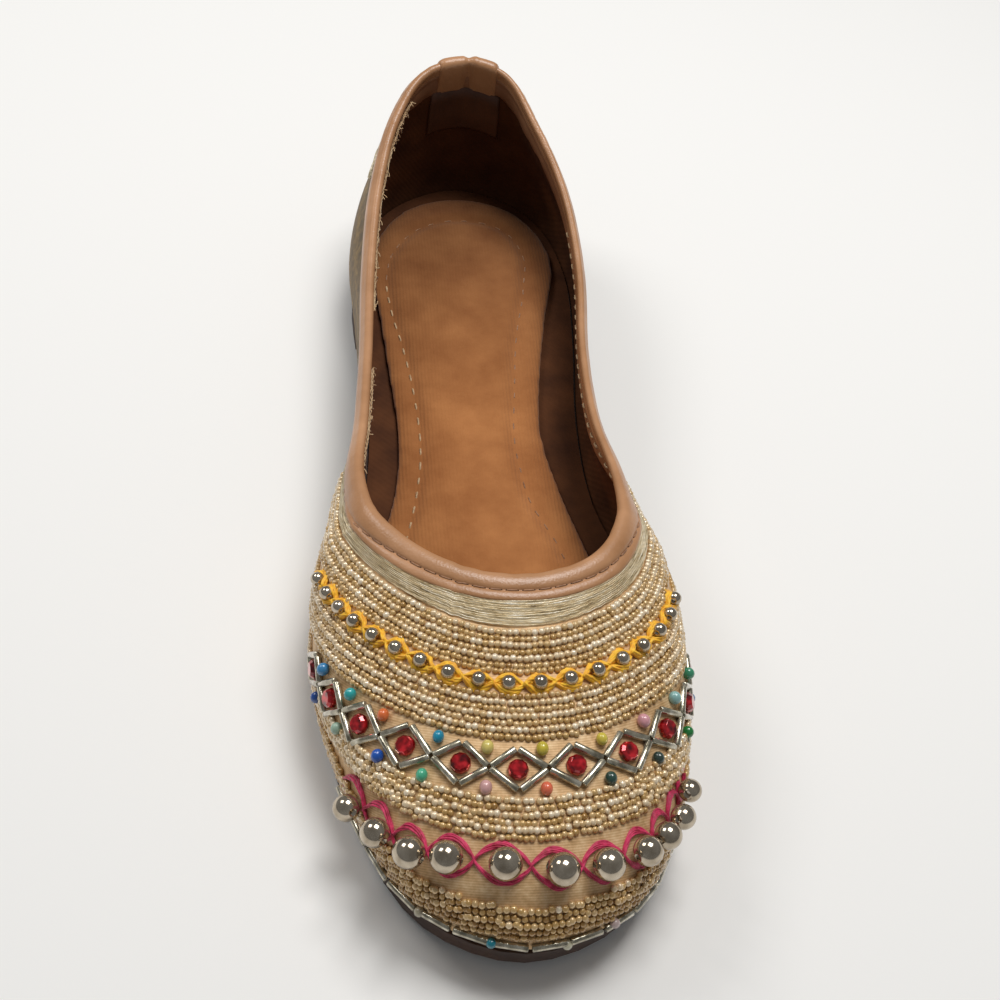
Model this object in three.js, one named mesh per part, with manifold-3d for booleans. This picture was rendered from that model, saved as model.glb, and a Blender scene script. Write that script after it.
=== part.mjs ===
// A mojari: a flat slip-on shoe with a hollow fabric-over-leather upper, a leather
// binding round its collar, a heel tab over the back seam, and a low-heeled sole.
// This is the left shoe. Millimetres, +Z up, toe towards -Y, outer side towards +X.
// The origin is on the floor, under the middle of the whole shoe.
import * as THREE from 'three';
import { mergeVertices } from 'three/addons/utils/BufferGeometryUtils.js';
import Module from 'manifold-3d';

// ---------------------------------------------------------------- driving sizes
const GAP = 0.3;              // air between two pieces that meet
const WALL = 1.4;             // upper: silk tissue, backing and lining together
const BINDING_LEATHER = 0.8;  // thickness of the collar binding
const BINDING_OUTER = 5.4;    // how far the binding comes down outside
const BINDING_INNER = 5.0;    // how far it comes down inside
const TAB_LEATHER = 1.1;      // heel tab, a little proud of the binding
const TAB_WIDTH = 19;
const TAB_OUTER = 34;         // the tab covers the back seam down the counter
const TAB_INNER = 9;
const TAB_TAPER = 0.35;       // keeps it one width as the counter widens below

const SOLE_THICK = 4.2;       // leather sole at the forefoot
const HEEL_RISE = 5.2;        // sole top at the heel above sole top at the ball
const TOE_SPRING = 4.0;       // how far the sole's tip stands off the floor
const SOLE_INSET = 1.3;       // the sole's edge sits this far inside the upper's bulge
const HEEL_BREAST = 62;       // stations are measured from the back of the heel
const ARCH_END = 122;
const ARCH_HEIGHT = 4.6;
const SPRING_START = 190;

const BOARD_THICK = 1.8;
const BOARD_INSET = 2.8;      // from the upper's widest outline
const FOOTBED_THICK = 2.4;

const WIDEST_ABOVE_SOLE = 6.5; // the upper bulges most this far above the sole
const FEATHER_INSET = 2.2;     // and tucks in by this much where it meets it
const FULLNESS = 0.5;          // roundness of the profile lines

// The row of large metal beads across the toe. round: the bead's place as a share of the
// way round the collar (0.5 is the toe). below: how far it lies from the collar's cut edge.
const LARGE_BEADS = [
  { round: 0.416,  below: 53.4, radius: 2.8 },
  { round: 0.434,  below: 55.6, radius: 2.95 },
  { round: 0.4503, below: 57.9, radius: 3.2 },
  { round: 0.4655, below: 58.0, radius: 3.2 },
  { round: 0.4888, below: 58.8, radius: 3.2 },
  { round: 0.5111, below: 60.0, radius: 3.25 },
  { round: 0.5285, below: 59.7, radius: 3.2 },
  { round: 0.5456, below: 58.5, radius: 3.0 },
  { round: 0.5574, below: 56.7, radius: 2.8 },
  { round: 0.5698, below: 54.4, radius: 2.6 },
  { round: 0.5795, below: 50.5, radius: 2.4 },
];

// ---------------------------------------------------------------- section table
// One row for each profile line round the shoe, from the back of the heel along the
// inner side to the toe and back along the outer side. foot: where the line meets the
// upper's widest outline; collar: where it meets the upper's cut top edge; lean: how
// steeply the upper leaves that edge, in degrees below level.
const PROFILES = [
  { name: 'heel_seam',     foot: [0, 0],       collar: [3.2, 0, 56.2],      lean: 84 },
  { name: 'heel_inner_1',  foot: [7, -17],     collar: [7, -12.5, 54.3],    lean: 80 },
  { name: 'heel_inner_2',  foot: [20, -27.6],  collar: [20, -20.6, 49.5],   lean: 76 },
  { name: 'quarter_in_1',  foot: [42, -33.1],  collar: [42, -26.2, 42.6],   lean: 73 },
  { name: 'quarter_in_2',  foot: [70, -32.2],  collar: [70, -29.3, 37],     lean: 78 },
  { name: 'waist_inner',   foot: [98, -31.6],  collar: [98, -30.8, 35.2],   lean: 84 },
  { name: 'joint_inner',   foot: [124, -33.8], collar: [124, -32.6, 36.5],  lean: 82 },
  { name: 'throat_in_1',   foot: [148, -40.4], collar: [145, -34.2, 39.6],  lean: 66 },
  { name: 'throat_in_2',   foot: [176, -43.9], collar: [159, -31, 41.4],    lean: 38 },
  { name: 'vamp_inner_1',  foot: [211, -36.2], collar: [170, -20.8, 42],    lean: 20 },
  { name: 'vamp_inner_2',  foot: [234.8, -23.2], collar: [175, -11, 42],     lean: 14 },
  { name: 'toe_tip',       foot: [243.8, -3],  collar: [176.4, -3, 42],     lean: 12 },
  { name: 'vamp_outer_2',  foot: [235.4, 19.4], collar: [175.6, 5.5, 42],   lean: 14 },
  { name: 'vamp_outer_1',  foot: [212, 32.3],  collar: [171, 15.8, 42],     lean: 20 },
  { name: 'throat_out_2',  foot: [180, 36.8],  collar: [160, 23, 41.4],     lean: 38 },
  { name: 'throat_out_1',  foot: [150, 35.4],  collar: [146, 24.6, 39.6],   lean: 66 },
  { name: 'joint_outer',   foot: [124, 29],    collar: [124, 23, 36.5],     lean: 88 },
  { name: 'waist_outer',   foot: [98, 28],     collar: [98, 23.8, 35.2],    lean: 88 },
  { name: 'quarter_out_2', foot: [70, 30.4],   collar: [70, 26.4, 37],      lean: 88 },
  { name: 'quarter_out_1', foot: [42, 31.4],   collar: [42, 24.6, 42.6],    lean: 86 },
  { name: 'heel_outer_2',  foot: [20, 26.6],   collar: [20, 17.6, 49.5],    lean: 84 },
  { name: 'heel_outer_1',  foot: [7, 17],      collar: [7, 11.2, 54.3],     lean: 82 },
];
// The padded footbed is waisted: half widths from the shoe's axis at each station.
const FOOTBED = [
  { station: 10,  inner: 0,    outer: 0 },
  { station: 16,  inner: 16,   outer: 16 },
  { station: 36,  inner: 26.5, outer: 25 },
  { station: 62,  inner: 25.2, outer: 20.6 },
  { station: 85,  inner: 23.3, outer: 16.8 },
  { station: 104, inner: 21.8, outer: 15.3 },
  { station: 123, inner: 23.4, outer: 18.2 },
  { station: 144, inner: 29,   outer: 23 },
  { station: 170, inner: 35,   outer: 29 },
  { station: 198, inner: 34.5, outer: 27 },
  { station: 220, inner: 26,   outer: 17.5 },
  { station: 232, inner: 3.5,  outer: -3.5 },
];

// ---------------------------------------------------------------- small helpers
const clamp = THREE.MathUtils.clamp;
const up = new THREE.Vector3(0, 0, 1);
const fromStation = (station, x, z) => new THREE.Vector3(x, -station, z);
const stationOf = (point) => -point.y;
const closedCurve = (points) => new THREE.CatmullRomCurve3(points, true, 'centripetal');

// A closed body from a list of triangles, each three points; flat slivers are left out.
function bodyFrom(triangles) {
  const positions = [];
  for (const [a, b, c] of triangles) {
    const flat = a.distanceTo(b) < 1e-4 || b.distanceTo(c) < 1e-4 || c.distanceTo(a) < 1e-4;
    if (!flat) positions.push(...a.toArray(), ...b.toArray(), ...c.toArray());
  }
  const geometry = new THREE.BufferGeometry();
  geometry.setAttribute('position', new THREE.Float32BufferAttribute(positions, 3));
  geometry.computeVertexNormals();
  return geometry;
}

// Two triangles for each cell between neighbouring rows of points.
function skin(rows, closeRows, closeColumns) {
  const triangles = [];
  const rowCells = closeRows ? rows.length : rows.length - 1;
  for (let i = 0; i < rowCells; i++) {
    const near = rows[i];
    const far = rows[(i + 1) % rows.length];
    const columnCells = closeColumns ? near.length : near.length - 1;
    for (let j = 0; j < columnCells; j++) {
      const k = (j + 1) % near.length;
      triangles.push([near[j], near[k], far[k]], [near[j], far[k], far[j]]);
    }
  }
  return triangles;
}

const flipped = (triangles) => triangles.map(([a, b, c]) => [a, c, b]);

// ---------------------------------------------------------------- sole heights
// Height of the sole's top face and bottom face at a station.
function springLift(station, length) {
  const along = clamp((station - SPRING_START) / (length - SPRING_START), 0, 1);
  return TOE_SPRING * along * along;
}
const SHOE_LENGTH = PROFILES.find((row) => row.name === 'toe_tip').foot[0];
const soleBottom = (station) => springLift(station, SHOE_LENGTH);
function soleTop(station) {
  const heelEase = THREE.MathUtils.smoothstep(station, HEEL_BREAST - 12, ARCH_END + 6);
  return SOLE_THICK + HEEL_RISE * (1 - heelEase) + springLift(station, SHOE_LENGTH);
}

// ---------------------------------------------------------------- upper's surface
const footCurve = closedCurve(PROFILES.map((row) => fromStation(row.foot[0], row.foot[1], 0)));
const collarCurve = closedCurve(PROFILES.map((row) => fromStation(...row.collar)));

const aroundOf = (u) => ((u % 1) + 1) % 1;

// The outward direction of a closed curve at u, level with the floor.
function outwardAt(curve, u) {
  const step = 1e-3;
  const along = curve.getPoint(aroundOf(u + step)).sub(curve.getPoint(aroundOf(u - step)));
  return new THREE.Vector3(along.y, -along.x, 0).normalize();
}

function leanAt(u) {
  const rowAt = aroundOf(u) * PROFILES.length;
  const i = Math.floor(rowAt) % PROFILES.length;
  const next = (i + 1) % PROFILES.length;
  const ease = THREE.MathUtils.smoothstep(rowAt - Math.floor(rowAt), 0, 1);
  return THREE.MathUtils.degToRad(THREE.MathUtils.lerp(PROFILES[i].lean, PROFILES[next].lean, ease));
}

// The profile line at u: down from the collar's edge to the widest outline (down 0 to 1),
// then tucked in to the sole (down 1 to 2).
function outerPoint(u, down) {
  const around = aroundOf(u);
  const widest = footCurve.getPoint(around);
  const floor = soleTop(stationOf(widest));
  const outward = outwardAt(footCurve, around);
  widest.z = floor + WIDEST_ABOVE_SOLE;
  if (down > 1) {
    const turn = (down - 1) * Math.PI / 2;
    const tuck = FEATHER_INSET * (1 - Math.cos(turn));
    const drop = (WIDEST_ABOVE_SOLE - GAP) * Math.sin(turn);
    return widest.addScaledVector(outward, -tuck).addScaledVector(up, -drop);
  }
  const edge = collarCurve.getPoint(around);
  const lean = leanAt(around);
  const rise = edge.z - widest.z;
  const reach = Math.hypot(widest.x - edge.x, widest.y - edge.y);
  const leave = FULLNESS * (Math.cos(lean) * reach + Math.sin(lean) * rise);
  const first = edge.clone()
    .addScaledVector(outwardAt(collarCurve, around), leave * Math.cos(lean))
    .addScaledVector(up, -leave * Math.sin(lean));
  const second = widest.clone().addScaledVector(up, FULLNESS * rise);
  return new THREE.CubicBezierCurve3(edge, first, second, widest).getPoint(down);
}

function outerNormal(u, down) {
  const du = 2e-3;
  const dv = 0.01;
  const low = Math.max(down - dv, 0);
  const high = Math.min(down + dv, 2);
  const around = outerPoint(u + du, down).sub(outerPoint(u - du, down));
  const along = outerPoint(u, high).sub(outerPoint(u, low));
  return along.cross(around).normalize();
}

// The same surface by true distance from the collar's edge instead of by down.
const PROFILE_STEPS = 60;
function downAtDistance(u, distance) {
  let walked = 0;
  let last = outerPoint(u, 0);
  for (let i = 1; i <= PROFILE_STEPS; i++) {
    const point = outerPoint(u, 2 * i / PROFILE_STEPS);
    const step = point.distanceTo(last);
    if (walked + step >= distance) {
      return 2 * (i - 1 + (distance - walked) / step) / PROFILE_STEPS;
    }
    walked += step;
    last = point;
  }
  return 2;
}

// A point so far down from the collar's edge and so far off the upper's outer face.
function offUpper(u, distance, off) {
  const down = downAtDistance(u, distance);
  return outerPoint(u, down).addScaledVector(outerNormal(u, down), off);
}

// ---------------------------------------------------------------- pieces
const AROUND = PROFILES.length * 4;
const DOWN_STEPS = [0, 0.1, 0.22, 0.34, 0.46, 0.58, 0.7, 0.82, 0.92, 1, 1.45, 2];

function upperGeometry() {
  const rows = [];
  for (let i = 0; i < AROUND; i++) {
    const u = i / AROUND;
    const outer = DOWN_STEPS.map((down) => outerPoint(u, down));
    const inner = DOWN_STEPS.map((down, k) => (
      outer[k].clone().addScaledVector(outerNormal(u, down), -WALL)));
    rows.push([...outer, ...inner.reverse()]);
  }
  return bodyFrom(skin(rows, true, true));
}

// A strip of leather folded over the collar's edge between two places round it. Its legs
// are drawn with legSteps points each; taper narrows the outer leg towards its foot.
function foldedStrip(strip) {
  const rows = [];
  for (let i = 0; i <= strip.steps; i++) {
    rows.push(foldedSection(strip, strip.from + (strip.to - strip.from) * i / strip.steps));
  }
  return bodyFrom([
    ...flipped(skin(rows, false, true)),
    ...stripEnd(rows[0], strip.legSteps, true),
    ...stripEnd(rows[strip.steps], strip.legSteps, false),
  ]);
}

// The strip's section at u: up the outside, over the edge and down the inside, then back
// along its hidden face, which clears the upper by the gap.
function foldedSection({ leather, outer, inner, legSteps, taper }, u) {
  const edge = outerPoint(u, 0);
  const normal = outerNormal(u, 0);
  const rise = edge.clone().sub(outerPoint(u, 0.05)).normalize();
  const heart = edge.clone().addScaledVector(normal, -WALL / 2);
  const over = (off, lift) => (
    heart.clone().addScaledVector(normal, off).addScaledVector(rise, lift));
  const outerLeg = (off) => Array.from({ length: legSteps }, (_, i) => {
    const down = 1 - i / legSteps;
    return offUpper(u * (1 - taper * down), outer * down, off);
  });
  const innerLeg = (off) => Array.from({ length: legSteps }, (_, i) => (
    offUpper(u, inner * (i + 1) / legSteps, off)));
  const face = GAP + leather;
  const side = WALL / 2 + face;
  const hidden = WALL / 2 + GAP;
  return [
    ...outerLeg(face), over(side, 0), over(side * 0.72, face * 0.8), over(0, face),
    over(-side * 0.72, face * 0.8), over(-side, 0), ...innerLeg(-WALL - face),
    ...innerLeg(-WALL - GAP).reverse(), over(-hidden, GAP), over(hidden, GAP),
    ...outerLeg(GAP).reverse(),
  ];
}

// Closes an end of a folded strip, pairing its shown face with its hidden face.
function stripEnd(section, legSteps, first) {
  const last = section.length - 1;
  const top = legSteps + 2;
  const pairs = [];
  for (let i = 0; i <= legSteps; i++) pairs.push([i, last - i]);
  pairs.push([top, last - legSteps], [top, last - legSteps - 1]);
  for (let i = 0; i <= legSteps; i++) pairs.push([top + 2 + i, last - legSteps - 1 - i]);
  const triangles = [];
  for (let i = 1; i < pairs.length; i++) {
    const [shown, hidden] = pairs[i - 1];
    const [nextShown, nextHidden] = pairs[i];
    for (let k = shown; k < nextShown; k++) {
      triangles.push([section[k], section[k + 1], section[hidden]]);
    }
    if (hidden !== nextHidden) {
      triangles.push([section[nextShown], section[nextHidden], section[hidden]]);
    }
  }
  return first ? triangles : flipped(triangles);
}

// A level slab inside an outline, given by two lines of points that run from the heel to
// the toe along the inner and the outer side and meet at both ends.
const ACROSS = 4;
function slabGeometry(innerSide, outerSide, topAt, bottomAt) {
  const ribs = (heightAt) => innerSide.map((inner, i) => {
    const rib = [];
    for (let k = 0; k <= ACROSS; k++) {
      const point = inner.clone().lerp(outerSide[i], k / ACROSS);
      point.z = heightAt(stationOf(point));
      rib.push(point);
    }
    return rib;
  });
  const top = ribs(topAt);
  const bottom = ribs(bottomAt);
  const edge = (k) => skin([bottom.map((rib) => rib[k]), top.map((rib) => rib[k])], false, false);
  return bodyFrom([
    ...flipped(skin(top, false, false)), ...skin(bottom, false, false),
    ...edge(0), ...flipped(edge(ACROSS)),
  ]);
}

// Both sides of the upper's outline, moved outwards by a distance.
function outlineSides(offset) {
  const half = AROUND / 2;
  const at = (u) => {
    const around = aroundOf(u);
    return footCurve.getPoint(around).addScaledVector(outwardAt(footCurve, around), offset);
  };
  const innerSide = [];
  const outerSide = [];
  for (let i = 0; i <= half; i++) {
    innerSide.push(at(i / AROUND));
    outerSide.push(at(-i / AROUND));
  }
  return [innerSide, outerSide];
}

const wasm = await Module();
wasm.setup();
function toSolid(geometry) {
  const bare = geometry.clone();
  bare.deleteAttribute('normal');
  bare.deleteAttribute('uv');
  const merged = mergeVertices(bare, 1e-4);
  return new wasm.Manifold(new wasm.Mesh({
    numProp: 3,
    vertProperties: Float32Array.from(merged.attributes.position.array),
    triVerts: Uint32Array.from(merged.index.array),
  }));
}
function toGeometry(solid) {
  const mesh = solid.getMesh();
  const geometry = new THREE.BufferGeometry();
  geometry.setAttribute('position', new THREE.BufferAttribute(mesh.vertProperties, 3));
  geometry.setIndex(new THREE.BufferAttribute(mesh.triVerts, 1));
  geometry.computeVertexNormals();
  return geometry;
}

// The leather sole with its low heel: a slab whose waist is hollowed from below.
function outsoleGeometry() {
  const [innerSide, outerSide] = outlineSides(-SOLE_INSET);
  const slab = slabGeometry(innerSide, outerSide, soleTop, soleBottom);
  const hollow = new THREE.Shape();
  hollow.moveTo(HEEL_BREAST, -1);
  hollow.lineTo(HEEL_BREAST, ARCH_HEIGHT - 1.2);
  hollow.quadraticCurveTo(HEEL_BREAST, ARCH_HEIGHT, HEEL_BREAST + 2, ARCH_HEIGHT);
  hollow.bezierCurveTo(HEEL_BREAST + 18, ARCH_HEIGHT - 0.2, ARCH_END - 22, 0.9, ARCH_END, -0.02);
  hollow.lineTo(ARCH_END, -1);
  const width = 120;
  const cutter = new THREE.ExtrudeGeometry(hollow, { depth: width, bevelEnabled: false, curveSegments: 6 });
  // drawn in station and height; turned to run from side to side
  cutter.applyMatrix4(new THREE.Matrix4().set(
    0, 0, -1, width / 2,
    -1, 0, 0, 0,
    0, 1, 0, 0,
    0, 0, 0, 1,
  ));
  return toGeometry(toSolid(slab).subtract(toSolid(cutter)));
}

function boardGeometry() {
  const [innerSide, outerSide] = outlineSides(-BOARD_INSET);
  const bottomAt = (station) => soleTop(station) + GAP;
  return slabGeometry(innerSide, outerSide, (station) => bottomAt(station) + BOARD_THICK, bottomAt);
}

function footbedGeometry() {
  const inner = FOOTBED.map((row) => fromStation(row.station, -row.inner, 0));
  const outer = FOOTBED.map((row) => fromStation(row.station, row.outer, 0));
  const rim = closedCurve([...inner, ...outer.slice(1, -1).reverse()]);
  const steps = (FOOTBED.length - 1) * 3;
  const sideOf = (sign) => Array.from({ length: steps + 1 }, (_, i) => (
    rim.getPoint(aroundOf(sign * i / (2 * steps)))));
  const bottomAt = (station) => soleTop(station) + BOARD_THICK + 2 * GAP;
  return slabGeometry(sideOf(1), sideOf(-1), (station) => bottomAt(station) + FOOTBED_THICK, bottomAt);
}

// Half the tab's width, as a share of the way round the collar.
function tabShare() {
  const step = 1e-4;
  let share = 0;
  while (collarCurve.getPoint(share).x > -TAB_WIDTH / 2) share += step;
  return share;
}

// ---------------------------------------------------------------- the shoe
const finish = (color, roughness, metalness = 0) => (
  new THREE.MeshStandardMaterial({ color, roughness, metalness }));
const soleLeather = finish(0x4a332c, 0.55);
const sockLining = finish(0x4a2e20, 0.9);
const suede = finish(0xa0683e, 0.95);
const goldTissue = finish(0xd2ae7c, 0.6, 0.1);
const tanLeather = finish(0xbc8864, 0.5);
const silverMetal = finish(0xb7af95, 0.2, 1);

const shoe = new THREE.Group();
function add(name, geometry, material) {
  const mesh = new THREE.Mesh(geometry, material);
  mesh.name = name;
  shoe.add(mesh);
  return mesh;
}

add('outsole', outsoleGeometry(), soleLeather);
add('insole_board', boardGeometry(), sockLining);
add('footbed', footbedGeometry(), suede);
add('upper', upperGeometry(), goldTissue);

const tabHalf = tabShare();
const collarLength = collarCurve.getLength();
const gapShare = GAP / collarLength;
add('collar_binding', foldedStrip({
  from: tabHalf + gapShare, to: 1 - tabHalf - gapShare, steps: 84,
  leather: BINDING_LEATHER, outer: BINDING_OUTER, inner: BINDING_INNER, legSteps: 2, taper: 0,
}), tanLeather);
add('heel_tab', foldedStrip({
  from: -tabHalf, to: tabHalf, steps: 6,
  leather: TAB_LEATHER, outer: TAB_OUTER, inner: TAB_INNER, legSteps: 5, taper: TAB_TAPER,
}), tanLeather);

LARGE_BEADS.forEach(({ round, below, radius }, i) => {
  const bead = add(`bead_large_${String(i + 1).padStart(2, '0')}`,
    new THREE.SphereGeometry(radius, 12, 8), silverMetal);
  bead.position.copy(offUpper(round, below, radius + GAP));
});

// Stand the shoe over the origin: middle of its box, sole on the floor.
const box = new THREE.Box3().setFromObject(shoe);
const middle = box.getCenter(new THREE.Vector3());
shoe.position.set(-middle.x, -middle.y, -box.min.z);

export default shoe;
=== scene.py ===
# %% [markdown]
# A mojari is a flat slip-on shoe of the Punjab: a leather sole, a cloth upper heavy with
# beadwork, and a leather binding round the collar. This file dresses one left shoe. The
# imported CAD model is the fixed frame, and each visible piece is made round it here.

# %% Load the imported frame
import math
import random

import bmesh
import bpy
from mathutils import Matrix, Vector
from mathutils.bvhtree import BVHTree


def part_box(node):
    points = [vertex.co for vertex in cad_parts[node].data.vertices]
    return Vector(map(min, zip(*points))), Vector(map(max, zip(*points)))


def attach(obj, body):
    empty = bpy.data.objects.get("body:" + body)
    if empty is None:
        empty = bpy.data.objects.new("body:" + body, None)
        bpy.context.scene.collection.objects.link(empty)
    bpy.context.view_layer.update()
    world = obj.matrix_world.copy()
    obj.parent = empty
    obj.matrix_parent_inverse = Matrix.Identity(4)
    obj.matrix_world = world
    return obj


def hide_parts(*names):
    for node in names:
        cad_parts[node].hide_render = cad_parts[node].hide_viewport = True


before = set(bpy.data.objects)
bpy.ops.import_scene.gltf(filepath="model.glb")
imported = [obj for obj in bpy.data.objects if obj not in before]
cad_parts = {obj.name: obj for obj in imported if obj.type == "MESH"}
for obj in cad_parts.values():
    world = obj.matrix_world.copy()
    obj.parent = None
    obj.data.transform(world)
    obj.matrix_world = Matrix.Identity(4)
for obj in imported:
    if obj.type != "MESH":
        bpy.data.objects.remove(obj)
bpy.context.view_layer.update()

# %% [markdown]
# Shoemakers measure along the shoe from the back of the heel, and across from its own
# axis. Keeping that habit here makes each number mean something on the bench.

# %% Shoemaker's measures
MM = 0.001
UP = Vector((0, 0, 1))
HEEL_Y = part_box("upper")[1].y
AXIS_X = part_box("upper")[0].x + 43.9 * MM


def station(along, across, height=0.0):
    """A point from mm along the shoe, mm outwards from its axis, and mm up."""
    return Vector((AXIS_X + across * MM, HEEL_Y - along * MM, height * MM))


print("heel at y =", round(HEEL_Y, 4), "m; the toe points towards -Y")

# %% [markdown]
# The camera stands above and in front of the toe, a little to the inner side, and looks
# steeply down into the shoe. It is aimed first, because everything is judged through it.

# %% Camera
camera_data = bpy.data.cameras.new("camera")
camera_data.lens = 50.94
camera = bpy.data.objects.new("camera", camera_data)
bpy.context.scene.collection.objects.link(camera)
LOOK_DOWN, LOOK_ASIDE = math.radians(48.5), math.radians(7.95)
camera.matrix_world = (
    Matrix.Translation(station(356.0, -46.0, 269.0))
    @ Matrix.Rotation(math.pi / 2 - LOOK_DOWN, 4, "X")
    @ Matrix.Rotation(-LOOK_ASIDE, 4, "Y")
)
bpy.context.scene.camera = camera
print("camera looks down", round(math.degrees(LOOK_DOWN), 1), "degrees")

# %% [markdown]
# Beads look right only when they have something dark to mirror and something bright. The
# room is dim, and two soft lamps, one overhead and one behind the inner side, give each
# bead its pair of glints. Colours are shown as they are, with no film curve over them.

# %% Floor and light
world = bpy.data.worlds.new("studio")
bpy.context.scene.world = world
world.use_nodes = True
world.node_tree.nodes["Background"].inputs["Color"].default_value = (0.93, 0.96, 1, 1)
world.node_tree.nodes["Background"].inputs["Strength"].default_value = 0.2
bpy.context.scene.view_settings.view_transform = "Standard"


def lamp(name, place, aim, size, power):
    """A square soft lamp at a place, facing a point."""
    data = bpy.data.lights.new(name, "AREA")
    data.size, data.energy = size, power
    made = bpy.data.objects.new(name, data)
    bpy.context.scene.collection.objects.link(made)
    turn = (Vector(aim) - Vector(place)).to_track_quat("-Z", "Y")
    made.matrix_world = Matrix.Translation(place) @ turn.to_matrix().to_4x4()
    return made


lamp("key", (0.17, 0.2, 0.93), (0, -0.02, 0), 0.42, 6.6)
lamp("second", (-0.55, 0.4, 0.78), (0, -0.02, 0), 0.34, 2.4)
print("two lamps")

# %% [markdown]
# Two helpers serve every finish: one turns a colour chip's hex code into the linear
# numbers that a shader wants, the other adds one node with its settings and its feeds.

# %% Colour and node helpers


def colour(code):
    """A linear colour from an sRGB hex code."""
    parts = [int(code[i:i + 2], 16) / 255 for i in (1, 3, 5)]
    return (*[c / 12.92 if c <= 0.04045 else ((c + 0.055) / 1.055) ** 2.4
              for c in parts], 1.0)


def add(material, kind, settings=None, inputs=None):
    """One node: settings are its own choices, inputs are values or sockets that feed it."""
    tree = material.node_tree
    made = tree.nodes.new(kind)
    for name, value in (settings or {}).items():
        setattr(made, name, value)
    for name, value in (inputs or {}).items():
        if isinstance(value, bpy.types.NodeSocket):
            tree.links.new(value, made.inputs[name])
        else:
            made.inputs[name].default_value = value
    return made


def finish(name, inputs):
    """A new material whose main shader has these values."""
    made = bpy.data.materials.new(name)
    made.use_nodes = True
    shader = made.node_tree.nodes["Principled BSDF"]
    for socket, value in inputs.items():
        shader.inputs[socket].default_value = value
    return made, shader


def feed(material, shader, socket, source):
    """Joins a source socket to one of the main shader's."""
    material.node_tree.links.new(source, shader.inputs[socket])


def ramp(material, source, stops):
    """A colour ramp of (place, hex) stops."""
    made = add(material, "ShaderNodeValToRGB", inputs={"Fac": source})
    band = made.color_ramp
    while len(band.elements) < len(stops):
        band.elements.new(0.5)
    for element, (place, code) in zip(band.elements, stops):
        element.position, element.color = place, colour(code)
    return made.outputs["Color"]


def wave_scale(pitch):
    """The Wave texture's scale for bands this many metres apart."""
    return math.pi / 10 / pitch


print("helpers ready")

# %% [markdown]
# The upper's cloth is gold tissue: silk warp with a flat gilt thread for weft. The gilt gives a
# soft metal sheen, the silk keeps it pale, and the weft shows as fine ribs that run along the
# bead rows. The quarters behind the beads are cut from a darker olive tissue with broad, faint
# woven stripes; part of that darkness is painted shade.

# %% Gold tissue
tissue, shader = finish("gold_tissue", {"Metallic": 0.25, "Roughness": 0.55})
cloth = add(tissue, "ShaderNodeUVMap", {"uv_map": "cloth"}).outputs["UV"]
space = add(tissue, "ShaderNodeTexCoord").outputs["Object"]
RIB = 0.5 * MM
VAMP_CLOTH_END = 91 * MM    # of the cloth map's run, where the quarters are joined on
ribs = add(tissue, "ShaderNodeTexWave", {"bands_direction": "Y"}, {
    "Vector": cloth, "Scale": wave_scale(RIB), "Distortion": 0.9,
    "Detail": 1.0, "Detail Scale": 0.25})
slubs = add(tissue, "ShaderNodeTexNoise", inputs={
    "Vector": space, "Scale": 1 / (2.2 * MM), "Detail": 6.0, "Roughness": 0.65})
mixed = add(tissue, "ShaderNodeMix", {"data_type": "FLOAT"}, {
    "Factor": 0.86, "A": ribs.outputs["Fac"], "B": slubs.outputs["Fac"]})
pale = ramp(tissue, mixed.outputs["Result"], [
    (0.3, "#B08A5A"), (0.5, "#D2AC7C"), (0.7, "#EACCA0")])
stripes = add(tissue, "ShaderNodeTexWave", {"bands_direction": "Y"}, {
    "Vector": cloth, "Scale": wave_scale(9 * MM), "Distortion": 1.5, "Detail": 3.0})
# Partly painted shade: the quarters' olive is coloured darker than the cloth alone, standing
# for the shade that lies on them.
olive_and_shade = ramp(tissue, add(tissue, "ShaderNodeMix", {"data_type": "FLOAT"}, {
    "Factor": 0.1, "A": mixed.outputs["Result"], "B": stripes.outputs["Fac"],
}).outputs["Result"], [(0.3, "#4C3A18"), (0.5, "#70562A"), (0.7, "#9C7C40")])
run = add(tissue, "ShaderNodeSeparateXYZ", inputs={"Vector": cloth}).outputs["X"]
back = add(tissue, "ShaderNodeMath", {"operation": "GREATER_THAN"})
tissue.node_tree.links.new(
    add(tissue, "ShaderNodeMath", {"operation": "ABSOLUTE"}, {0: run}).outputs["Value"],
    back.inputs[0])
back.inputs[1].default_value = VAMP_CLOTH_END
both = add(tissue, "ShaderNodeMix", {"data_type": "RGBA"}, {"Factor": back.outputs["Value"]})
tissue.node_tree.links.new(pale, both.inputs["A"])
tissue.node_tree.links.new(olive_and_shade, both.inputs["B"])
feed(tissue, shader, "Base Color", both.outputs["Result"])
bump = add(tissue, "ShaderNodeBump", inputs={
    "Strength": 0.3, "Distance": 0.1 * MM, "Height": mixed.outputs["Result"]})
feed(tissue, shader, "Normal", bump.outputs["Normal"])
print("gold tissue: ribs", RIB / MM, "mm apart")

# %% [markdown]
# Leathers. The binding is vegetable-tanned goat, shaved thin and burnished: a soft
# gloss over a tight pebble grain. The sole is thick buffalo hide, darker and drier. The
# footbed is suede, the flesh side brushed up, which has nap and no gloss at all.

# %% Leathers


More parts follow.
